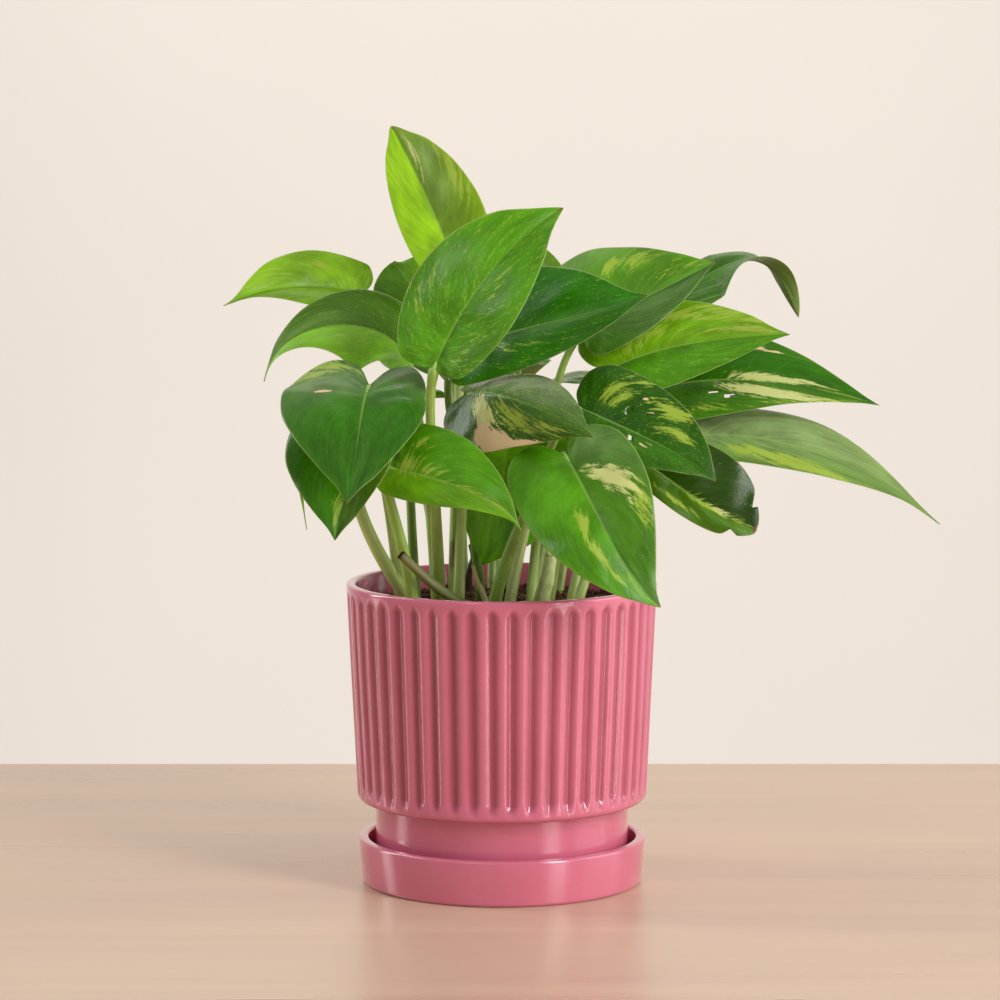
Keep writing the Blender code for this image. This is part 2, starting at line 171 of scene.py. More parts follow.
class Wire:
    # one output of a shader node; arithmetic on it adds the nodes that work it out
    def __init__(self, tree, socket=None):
        self.tree = tree
        self.socket = socket

    def node(self, kind, settings=None, values=None):
        # any other node: its settings first, then each input linked or set
        made = self.tree.nodes.new(kind)
        for key, value in (settings or {}).items():
            setattr(made, key, value)
        for key, value in (values or {}).items():
            if isinstance(value, Wire):
                self.tree.links.new(value.socket, made.inputs[key])
            else:
                made.inputs[key].default_value = value
        return Wire(self.tree, next((s for s in made.outputs if s.enabled), None))

    def out(self, name):
        return Wire(self.tree, self.socket.node.outputs[name])

    def wide(self):
        return self.socket.type in ("RGBA", "VECTOR")

    def sums(self, operation, first, second):
        sides = [first, second]
        if any(isinstance(side, Wire) and side.wide() for side in sides):
            sides = [side if isinstance(side, Wire) or np.ndim(side) else (side,) * 3 for side in sides]
            return self.node("ShaderNodeVectorMath", {"operation": operation}, dict(enumerate(sides)))
        return self.node("ShaderNodeMath", {"operation": operation}, dict(enumerate(sides)))

    def __add__(self, other):
        return self.sums("ADD", self, other)

    def __sub__(self, other):
        return self.sums("SUBTRACT", self, other)

    def __mul__(self, other):
        return self.sums("MULTIPLY", self, other)

    def __rsub__(self, other):
        return self.sums("SUBTRACT", other, self)

    __radd__ = __add__
    __rmul__ = __mul__

    def sin(self):
        return self.node("ShaderNodeMath", {"operation": "SINE"}, {0: self})

    def raised(self, power):
        return self.node("ShaderNodeMath", {"operation": "POWER"}, {0: self, 1: power})

    def size(self):
        return self.node("ShaderNodeMath", {"operation": "ABSOLUTE"}, {0: self})

    def within(self, low, high, start=0.0, end=1.0):
        # an S curve from start to end as the value passes from low to high
        values = {"Value": self, "From Min": low, "From Max": high, "To Min": start, "To Max": end}
        return self.node("ShaderNodeMapRange", {"interpolation_type": "SMOOTHSTEP"}, values)

    def mix(self, first, second):
        # first where this is 0, second where it is 1
        sides = [side if isinstance(side, Wire) else (*side, 1.0)[:4] for side in (first, second)]
        made = self.node("ShaderNodeMix", {"data_type": "RGBA"}, {0: self, 6: sides[0], 7: sides[1]})
        return Wire(self.tree, made.socket.node.outputs[2])

    def noise(self, place, scale, detail=3.0, roughness=0.55):
        values = {"Vector": place, "Scale": scale, "Detail": detail, "Roughness": roughness}
        return self.node("ShaderNodeTexNoise", None, values)

    def split(self):
        made = self.node("ShaderNodeSeparateXYZ", None, {0: self})
        return made.out("X"), made.out("Y"), made.out("Z")

    def vector(self, x, y, z=0.0):
        return self.node("ShaderNodeCombineXYZ", None, {0: x, 1: y, 2: z})

    def mark(self, name, output="Color"):
        return self.node("ShaderNodeAttribute", {"attribute_name": name}).out(output)

    def objectPlace(self):
        return self.node("ShaderNodeTexCoord").out("Object")

    def bump(self, height, depth, strength=1.0):
        return self.node("ShaderNodeBump", None, {"Height": height, "Distance": depth, "Strength": strength})


def material(name, build, **constants):
    # a Principled material: build(wire) gives its linked inputs, constants the plain ones
    made = bpy.data.materials.new(name)
    made.use_nodes = True
    tree = made.node_tree
    shader = tree.nodes["Principled BSDF"]
    for key, value in constants.items():
        shader.inputs[key.replace("_", " ")].default_value = value
    for key, wire in build(Wire(tree)).items():
        tree.links.new(wire.socket, shader.inputs[key])
    return made


# ---- the pot and its saucer -------------------------------------------------------------------------------

def turnedLoop(corners, steps=5):
    # a closed outline of (radius, height, rounding): each corner becomes a quadratic curve of that reach
    corners = np.asarray(corners, float)
    points = []
    for k, (radius, height, reach) in enumerate(corners):
        here = np.array([radius, height])
        before, after = corners[k - 1, :2] - here, corners[(k + 1) % len(corners), :2] - here
        if reach == 0:
            points.append(here)
            continue
        start = here + before / np.linalg.norm(before) * min(reach, 0.49 * np.linalg.norm(before))
        end = here + after / np.linalg.norm(after) * min(reach, 0.49 * np.linalg.norm(after))
        s = np.linspace(0, 1, steps)[:, None]
        points.extend((1 - s) ** 2 * start + 2 * s * (1 - s) * here + s**2 * end)
    return np.array(points)


def spun(outline, sides, radiusAt=None, marks=None):
    # the outline turned about the upright axis: (r cos a, r sin a, h), with r changed by radiusAt(r, h, a)
    angle = np.linspace(0, 2 * math.pi, sides, endpoint=False)
    radius, height = (np.broadcast_to(outline[:, k, None], (len(outline), sides)) for k in (0, 1))
    turn = np.broadcast_to(angle, radius.shape)
    changed = radiusAt(radius, height, turn) if radiusAt else radius
    points = np.stack([changed * np.cos(turn), changed * np.sin(turn), height], -1) * mm
    values = marks(radius, height, turn) if marks else {"hollow": np.zeros((radius.size, 1))}
    return points.reshape(-1, 3), gridFaces(len(outline), sides, wrap=True), values


potShape = dict(rimRadius=65.0, bodyFootRadius=61.0, neckRadius=53.0, top=126.2, bodyFoot=34.5, wall=4.0, floor=4.5,
                foot=4.3, footRing=6.5, footHeight=2.2, drain=6.0)
fluteShape = dict(count=48, depth=1.5, low=39.0, high=122.8, endLength=3.8, sharpness=1.25)


def bodyRadius(height):
    # the outside of the body widens evenly from its foot to the rim
    low = potShape["bodyFoot"] + 9
    share = (height - low) / (potShape["top"] - low)
    return potShape["bodyFootRadius"] + (potShape["rimRadius"] - potShape["bodyFootRadius"]) * share


def fluteHollow(height, turn):
    # how deep a flute is, 0 on a ridge to 1 in a valley: (1/2 - cos/2)^sharpness, closed by round ends
    valley = (0.5 - 0.5 * np.cos(fluteShape["count"] * turn)) ** fluteShape["sharpness"]
    ends = np.minimum(height - fluteShape["low"], fluteShape["high"] - height) / fluteShape["endLength"]
    return np.clip(valley - (1 - np.clip(ends, 0, 1)) ** 2, 0, 1)


def makePot(look):
    shape = potShape
    foot = shape["foot"]
    under, floor = foot + shape["footHeight"], foot + shape["footHeight"] + shape["floor"]
    neck, inside = shape["neckRadius"], shape["neckRadius"] - shape["wall"]
    rim, top = shape["rimRadius"], shape["top"]
    body = [(bodyRadius(h), h, 0) for h in np.linspace(41, 123.2, 74)]
    corners = [(shape["drain"], under, 0.6), (neck - shape["footRing"], under, 0.6)]
    corners += [(neck - shape["footRing"] + 0.8, foot, 0.6), (neck, foot, 1.6), (neck, shape["bodyFoot"] + 0.2, 1.2)]
    corners += [(bodyRadius(shape["bodyFoot"]) + 0.1, shape["bodyFoot"], 5.2)]
    corners += body
    corners += [(rim - 0.05, 123.8, 0), (rim, top, 1.7), (rim - shape["wall"], top, 1.5)]
    corners += [(shape["bodyFootRadius"] - shape["wall"], 45.5, 2), (inside, 38.5, 2), (inside, floor, 3)]
    corners += [(shape["drain"], floor, 0.6)]
    outline = turnedLoop(corners)
    outline = np.vstack([outline, outline[:1]])

    def onBody(radius, height):
        return (radius > bodyRadius(height) - 0.4) & (height > 38) & (height < 123.5)

    def radiusAt(radius, height, turn):
        hand = 0.12 * np.sin(3 * turn + height * 0.04) + 0.08 * np.sin(5 * turn - height * 0.03)
        return radius - np.where(onBody(radius, height), fluteShape["depth"] * fluteHollow(height, turn), 0) + hand

    def marks(radius, height, turn):
        hollow = np.where(onBody(radius, height), fluteHollow(height, turn), 0)
        return {"hollow": hollow.reshape(-1, 1)}

    part = spun(outline, 12 * fluteShape["count"], radiusAt, marks)
    return addPiece("pot_body", [part], look, "pot")


saucerShape = dict(topRadius=60.3, footRadius=58.6, height=19.2, floor=4.0, wall=4.2)


def makeSaucer(look):
    shape = saucerShape
    top, foot = shape["topRadius"], shape["footRadius"]
    inside = top - shape["wall"]
    corners = [(0, 0.8, 0), (foot - 9, 0.8, 0.5), (foot - 8, 0, 0.5), (foot, 0, 1.6)]
    corners += [(top, shape["height"], 1.5), (inside, shape["height"], 1.3), (inside - 0.8, shape["floor"], 2.5)]
    corners += [(0, shape["floor"], 0)]

    def radiusAt(radius, height, turn):
        return radius + np.where(radius > 20, 0.1 * np.sin(3 * turn + 1), 0)

    return addPiece("saucer_dish", [spun(turnedLoop(corners, 6), 288, radiusAt)], look, "saucer")


glazeLook = dict(ridge=(208, 108, 134), valley=(166, 66, 90), speck=(140, 56, 74))


def buildGlaze(wire):
    # pink glaze, thicker and deeper in colour in the flutes and thinner on their ridges, with fine specks
    place = wire.objectPlace()
    cloud = wire.noise(place, 28, 3)
    deep = (wire.mark("hollow", "Fac") * 0.75 + cloud * 0.5 - 0.12).within(0.0, 0.9)
    colour = deep.mix(linear(glazeLook["ridge"]), linear(glazeLook["valley"]))
    speck = wire.noise(place, 900, 2).within(0.69, 0.74)
    colour = (speck * 0.25).mix(colour, linear(glazeLook["speck"]))
    roughness = wire.noise(place, 240, 2).within(0.35, 0.75, 0.14, 0.2)
    height = wire.noise(place, 300, 2) * 0.25 + wire.noise(place, 60, 2)
    return {"Base Color": colour, "Roughness": roughness, "Normal": wire.bump(height, 0.00004, 0.5)}


# ---- the potting mix --------------------------------------------------------------------------------------

soilShape = dict(edge=115.5, crown=117.5, rough=1.1, crumbs=1500, crumbSize=(0.5, 1.7), fibres=620,
                 fibreLength=(5, 16), fibreRadius=0.17)


def soilHeight(x, y):
    # a low mound: it falls from the crown with the square of the distance
    drop = soilShape["crown"] - soilShape["edge"]
    return soilShape["crown"] - drop * (x * x + y * y) / (potShape["rimRadius"] - potShape["wall"]) ** 2


def soilTop(x, y):
    # the mound with its lumps, in millimetres
    place = np.stack(np.broadcast_arrays(x, y, 0 * x), -1)
    lumps = waves(place, 9, 3) * 0.5 + waves(place, 3.5, 4) * 0.35 + waves(place, 1.6, 5) * 0.15
    return soilHeight(x, y) + soilShape["rough"] * lumps


def soilBed():
    # the mix itself: lumpy on top, and filling the pot below
    inside = 60.1
    angle = np.linspace(0, 2 * math.pi, 240, endpoint=False)
    radius = np.concatenate([[0], np.linspace(0.6, inside, 88)])[:, None] + 0 * angle
    x, y = radius * np.cos(angle), radius * np.sin(angle)
    top = np.stack([x, y, soilTop(x, y)], -1)
    sides = [(56.7, 45.8), (48.7, 38.8), (48.7, 14.3), (45.5, 11.3), (0, 11.3)]
    low = [np.stack([r * np.cos(angle), r * np.sin(angle), h + 0 * angle], -1) for r, h in sides]
    points = np.concatenate([top, np.stack(low)])
    return points.reshape(-1, 3) * mm, gridFaces(len(points), 240, wrap=True), {"tone": np.full((points.shape[0] * 240, 1), 0.35)}


def scattered(count, reach=58.5):
    # places spread evenly over the round top
    radius, angle = reach * np.sqrt(dice.uniform(0, 1, count)), dice.uniform(0, 2 * math.pi, count)
    return radius * np.cos(angle), radius * np.sin(angle)


def crumbs():
    # lumps of bark and peat: a ball of 5 rings by 6 points, each squashed, turned and roughened its own way
    count = soilShape["crumbs"]
    x, y = scattered(count)
    polar, round_ = np.meshgrid(np.linspace(0, math.pi, 5), np.linspace(0, 2 * math.pi, 6, endpoint=False), indexing="ij")
    ball = np.stack([np.sin(polar) * np.cos(round_), np.sin(polar) * np.sin(round_), np.cos(polar)], -1).reshape(-1, 3)
    size = dice.uniform(*soilShape["crumbSize"], (count, 1, 1)) * dice.uniform(0.45, 1.2, (count, 1, 3))
    axis = unit(dice.normal(size=(count, 3, 3)))
    first = axis[:, 0]
    second = unit(np.cross(first, axis[:, 1]))
    turned = np.stack([first, second, np.cross(first, second)], 1)
    uneven = 1 + 0.25 * np.sin(ball @ dice.normal(size=(3, 1)) * 4 + dice.uniform(0, 6, (count, 1, 1)))
    shapes = (ball * uneven * size) @ turned
    centre = np.stack([x, y, soilTop(x, y) + 0.2], -1)
    points = shapes + centre[:, None]
    faces = gridFaces(5, 6, wrap=True)
    faces = faces + len(ball) * np.arange(count)[:, None, None]
    tone = np.repeat(dice.uniform(0, 1, count), len(ball))[:, None]
    return points.reshape(-1, 3) * mm, faces.reshape(-1, 4), {"tone": tone}


def fibres():
    # coir fibres that lie bent over the lumps: a thin four-sided tube along an arc
    count = soilShape["fibres"]
    x, y = scattered(count, 55)
    t = np.linspace(-0.5, 0.5, 7)
    heading, bend = dice.uniform(0, 2 * math.pi, (count, 1)), dice.normal(0, 1.3, (count, 1))
    length = dice.uniform(*soilShape["fibreLength"], (count, 1))
    way = heading + bend * t
    px = x[:, None] + length * t * np.cos(way)
    py = y[:, None] + length * t * np.sin(way)
    far = np.maximum(np.hypot(px, py) / 59.5, 1)
    px, py = px / far, py / far
    lift = dice.uniform(0.3, 1.6, (count, 1)) * (1 - 3 * t**2) + 0.3
    centre = np.stack([px, py, soilTop(px, py) + lift], -1)
    thick = soilShape["fibreRadius"] * np.sqrt(np.clip(1 - (2 * t) ** 6, 0, 1))[:, None]
    round_ = np.linspace(0, 2 * math.pi, 4, endpoint=False)
    aside = np.stack([-np.sin(way), np.cos(way), 0 * way], -1)
    ring = aside[:, :, None] * np.cos(round_)[:, None] + np.array([0, 0, 1.0]) * np.sin(round_)[:, None]
    points = centre[:, :, None] + ring * thick[..., None]
    faces = gridFaces(7, 4, wrap=True) + 28 * np.arange(count)[:, None, None]
    tone = np.repeat(dice.uniform(0.5, 1.6, count), 28)[:, None]
    return points.reshape(-1, 3) * mm, faces.reshape(-1, 4), {"tone": tone}


soilLook = dict(dark=(34, 17, 13), middle=(84, 45, 34), light=(150, 98, 66))


def buildSoil(wire):
    place = wire.objectPlace()
    tone = wire.mark("tone", "Fac") * 0.7 + wire.noise(place, 500, 4) * 0.6 - 0.25
    colour = tone.within(0.0, 0.55).mix(linear(soilLook["dark"]), linear(soilLook["middle"]))
    colour = tone.within(0.55, 1.2).mix(colour, linear(soilLook["light"]))
    height = wire.noise(place, 1300, 4)
    return {"Base Color": colour, "Roughness": height.within(0.2, 0.8, 0.8, 0.98), "Normal": wire.bump(height, 0.0003)}


# ---- the leaves -------------------------------------------------------------------------------------------

leafShape = dict(thickness=0.5, along=80, across=26, rounding=0.05, groove=0.3, ridge=0.9, ridgeWidth=0.9,
                 quilting=0.1, veins=11, wave=1.0, sway=1.0, dents=0.28)
outline = (  # the blade's edge from notch to tip: share of its length, share of its half width
    (-0.02, 0.00), (-0.13, 0.22), (-0.16, 0.55), (-0.07, 0.86), (0.12, 1.00),
    (0.36, 0.95), (0.58, 0.72), (0.77, 0.42), (0.90, 0.16), (1.00, 0.00),
)

# One row a leaf. midrib: four points that the midrib runs through, from the stalk to the tip. faces: the way
# the upper side looks. halfWidth: left and right of the midrib, tip up. fold: how steeply both halves rise
# from the midrib, and edge: the same slope at the blade's edge. lobe: how deep the heart's lobes are, 1 for
# the plain outline. taper: above 1 for a longer drip tip, below 1 for a blunt one. belly: how much the widest
# place moves towards the tip. twist: how fast the blade turns over beyond its middle. foot: where its stalk
# leaves the soil. bow: how far the stalk swings out on its way up, where it does.
leaves = {
    "crown": dict(
        midrib=((-20, 12, 257), (-27, 24, 275), (-37, 36, 296), (-47, 44, 315)),
        faces=(0.1, -0.9, 0.4), halfWidth=(19, 22), fold=(25, 25), edge=5, lobe=0.8, taper=0.75, belly=0.2, twist=0,
        foot=(-20, 6),
    ),
    "big_centre": dict(
        midrib=((-27, -48, 220), (-17, -46, 240), (0, -42, 263), (25, -32, 283)),
        faces=(-0.1, -0.95, 0.3), halfWidth=(26, 21), fold=(8, 8), edge=-8, lobe=0.3, taper=0.9, belly=0.5, twist=0,
        foot=(-26, -14),
    ),
    "dark_centre": dict(
        midrib=((-18, -22, 224), (7, -28, 233), (33, -36, 240), (59, -40, 248)),
        faces=(0, -0.75, 0.65), halfWidth=(35, 21), fold=(8, 8), edge=-15, lobe=0.6, taper=1, belly=0.1, twist=0,
        foot=(-9, 2),
    ),
    "folded": dict(
        midrib=((34, -6, 232), (52, 0, 241), (71, 6, 250), (89, 10, 259)),
        faces=(-0.1, -0.8, 0.6), halfWidth=(35, 16), fold=(15, 15), edge=-20, lobe=0.4, taper=1, belly=0, twist=0,
        foot=(12, -6),
    ),
    "curled_tip": dict(
        midrib=((62, 50, 236), (86, 53, 250), (108, 48, 258), (126, 38, 234)),
        faces=(0, -0.7, 0.7), halfWidth=(13, 20), fold=(10, 10), edge=-10, lobe=0.5, taper=0.8, belly=0.3, twist=-170,
        foot=(24, 26),
    ),
    "right_upper": dict(
        midrib=((46, -6, 216), (69, -4, 224), (94, -4, 228), (119, -8, 230)),
        faces=(0, -0.75, 0.65), halfWidth=(26, 20), fold=(12, 12), edge=-10, lobe=0.8, taper=1, belly=0, twist=0,
        foot=(20, 2),
    ),
    "right_cream": dict(
        midrib=((64, 10, 206), (97, 8, 210), (128, 5, 207), (157, 0, 200)),
        faces=(0, -0.7, 0.7), halfWidth=(28, 20), fold=(12, 12), edge=-10, lobe=0.8, taper=1.1, belly=-0.2, twist=0,
        foot=(29, -4),
    ),
    "right_long": dict(
        midrib=((74, -6, 187), (111, -6, 186), (147, -10, 174), (181, -16, 152)),
        faces=(0, -0.6, 0.8), halfWidth=(23, 15), fold=(5, 5), edge=-25, lobe=0.3, taper=1.4, belly=0.2, twist=0,
        foot=(31, -18),
    ),
    "holed": dict(
        midrib=((32, -36, 202), (51, -46, 194), (70, -52, 185), (86, -56, 174)),
        faces=(0.1, -0.8, 0.6), halfWidth=(27, 17), fold=(15, 15), edge=-15, lobe=0.7, taper=0.9, belly=0, twist=0,
        foot=(3, -22),
    ),
    "ragged": dict(
        midrib=((60, -26, 178), (75, -29, 167), (90, -31, 158), (104, -32, 151)),
        faces=(0.2, -0.9, 0.3), halfWidth=(24, 10), fold=(10, 10), edge=-10, lobe=0.6, taper=0.5, belly=0.2, twist=0,
        foot=(14, -20),
    ),
    "big_front": dict(
        midrib=((26, -58, 184), (36, -72, 166), (48, -82, 145), (63, -86, 127)),
        faces=(0, -0.85, 0.5), halfWidth=(26, 28), fold=(8, 8), edge=-10, lobe=1, taper=1, belly=0, twist=0,
        foot=(-4, -34),
    ),
    "blotched": dict(
        midrib=((-13, -34, 208), (0, -48, 208), (17, -64, 203), (36, -80, 194)),
        faces=(-0.27, -0.61, 0.75), halfWidth=(31, 33), fold=(-15, -38), edge=-30, lobe=2.1, taper=1, belly=0, twist=0,
        foot=(-18, -26),
    ),
    "heart": dict(
        midrib=((-54, -46, 211), (-56, -62, 202), (-58, -78, 187), (-61, -92, 169)),
        faces=(0, -0.6, 0.8), halfWidth=(26, 35), fold=(10, 10), edge=-20, lobe=3.0, taper=1, belly=0, twist=0,
        foot=(-35, -22), bow=(-30, -1, 0),
    ),
    "under_heart": dict(
        midrib=((-57, -42, 193), (-61, -52, 180), (-64, -60, 165), (-67, -64, 151)),
        faces=(-0.2, -0.9, 0.3), halfWidth=(17, 28), fold=(25, 25), edge=-10, lobe=1, taper=1, belly=0, twist=0,
        foot=(-42, -12),
    ),
    "low_centre": dict(
        midrib=((-44, -54, 179), (-24, -64, 175), (-5, -73, 168), (8, -77, 156)),
        faces=(0, -0.92, 0.4), halfWidth=(22, 12), fold=(8, 8), edge=-10, lobe=0.5, taper=1.5, belly=0, twist=0,
        foot=(-36, -32),
    ),
    "hanging": dict(
        midrib=((3, -12, 187), (0, -15, 169), (-4, -17, 151), (-8, -16, 135)),
        faces=(0, -1, 0.2), halfWidth=(32, 20), fold=(10, 10), edge=-5, lobe=0.8, taper=0.9, belly=0, twist=0,
        foot=(-2, -6),
    ),
    "left_top": dict(
        midrib=((-58, 27, 246), (-78, 23, 248), (-97, 15, 247), (-116, 7, 241)),
        faces=(0, -0.6, 0.8), halfWidth=(22, 21), fold=(28, 28), edge=0, lobe=0.3, taper=1.4, belly=0.4, twist=0,
        foot=(-36, 8),
    ),
    "left_arch": dict(
        midrib=((-39, -11, 220), (-58, -7, 233), (-83, -9, 230), (-98, -15, 211)),
        faces=(0, -0.7, 0.7), halfWidth=(24, 24), fold=(10, 10), edge=-15, lobe=0.6, taper=1.8, belly=0, twist=0,
        foot=(-27, -10),
    ),
    "left_slim": dict(
        midrib=((-66, -6, 205), (-78, -8, 198), (-83, -10, 178), (-81, -10, 149)),
        faces=(-0.5, -0.85, 0.3), halfWidth=(7, 7), fold=(20, 20), edge=-5, lobe=0.8, taper=1.5, belly=0, twist=0,
        foot=(-42, -6),
    ),
    "back_left_small": dict(
        midrib=((-26, 40, 229), (-37, 50, 245), (-44, 58, 253), (-46, 60, 257)),
        faces=(0, -0.9, 0.5), halfWidth=(20, 20), fold=(10, 10), edge=-5, lobe=0.8, taper=1, belly=0, twist=0,
        foot=(-16, 26),
    ),
    "back_right_small": dict(
        midrib=((8, 40, 232), (10, 44, 248), (12, 48, 260), (14, 50, 267)),
        faces=(0, -0.9, 0.5), halfWidth=(20, 20), fold=(10, 10), edge=-5, lobe=0.8, taper=1, belly=0, twist=0,
        foot=(4, 26),
    ),
    "back_right": dict(
        midrib=((40, 67, 205), (51, 83, 205), (60, 98, 195), (66, 107, 176)),
        faces=(0.3, 0.4, 0.85), halfWidth=(24, 24), fold=(12, 12), edge=-15, lobe=0.9, taper=1, belly=0, twist=0,
        foot=(14, 34),
    ),
    "back_left": dict(
        midrib=((-45, 45, 200), (-56, 64, 198), (-66, 78, 186), (-72, 88, 168)),
        faces=(-0.3, 0.4, 0.85), halfWidth=(26, 26), fold=(12, 12), edge=-15, lobe=0.9, taper=1, belly=0, twist=0,
        foot=(-26, 32),
    ),
    "back_middle": dict(
        midrib=((-4, 62, 214), (-6, 80, 212), (-7, 96, 200), (-8, 106, 180)),
        faces=(0, 0.5, 0.85), halfWidth=(27, 27), fold=(10, 10), edge=-15, lobe=1, taper=1, belly=0, twist=0,
        foot=(-4, 40),
    ),
    "back_low": dict(
        midrib=((2, 56, 172), (8, 68, 164), (13, 78, 152), (16, 84, 136)),
        faces=(0.2, 0.7, 0.65), halfWidth=(18, 18), fold=(12, 12), edge=-10, lobe=0.9, taper=1, belly=0, twist=0,
        foot=(24, 40),
    ),
}

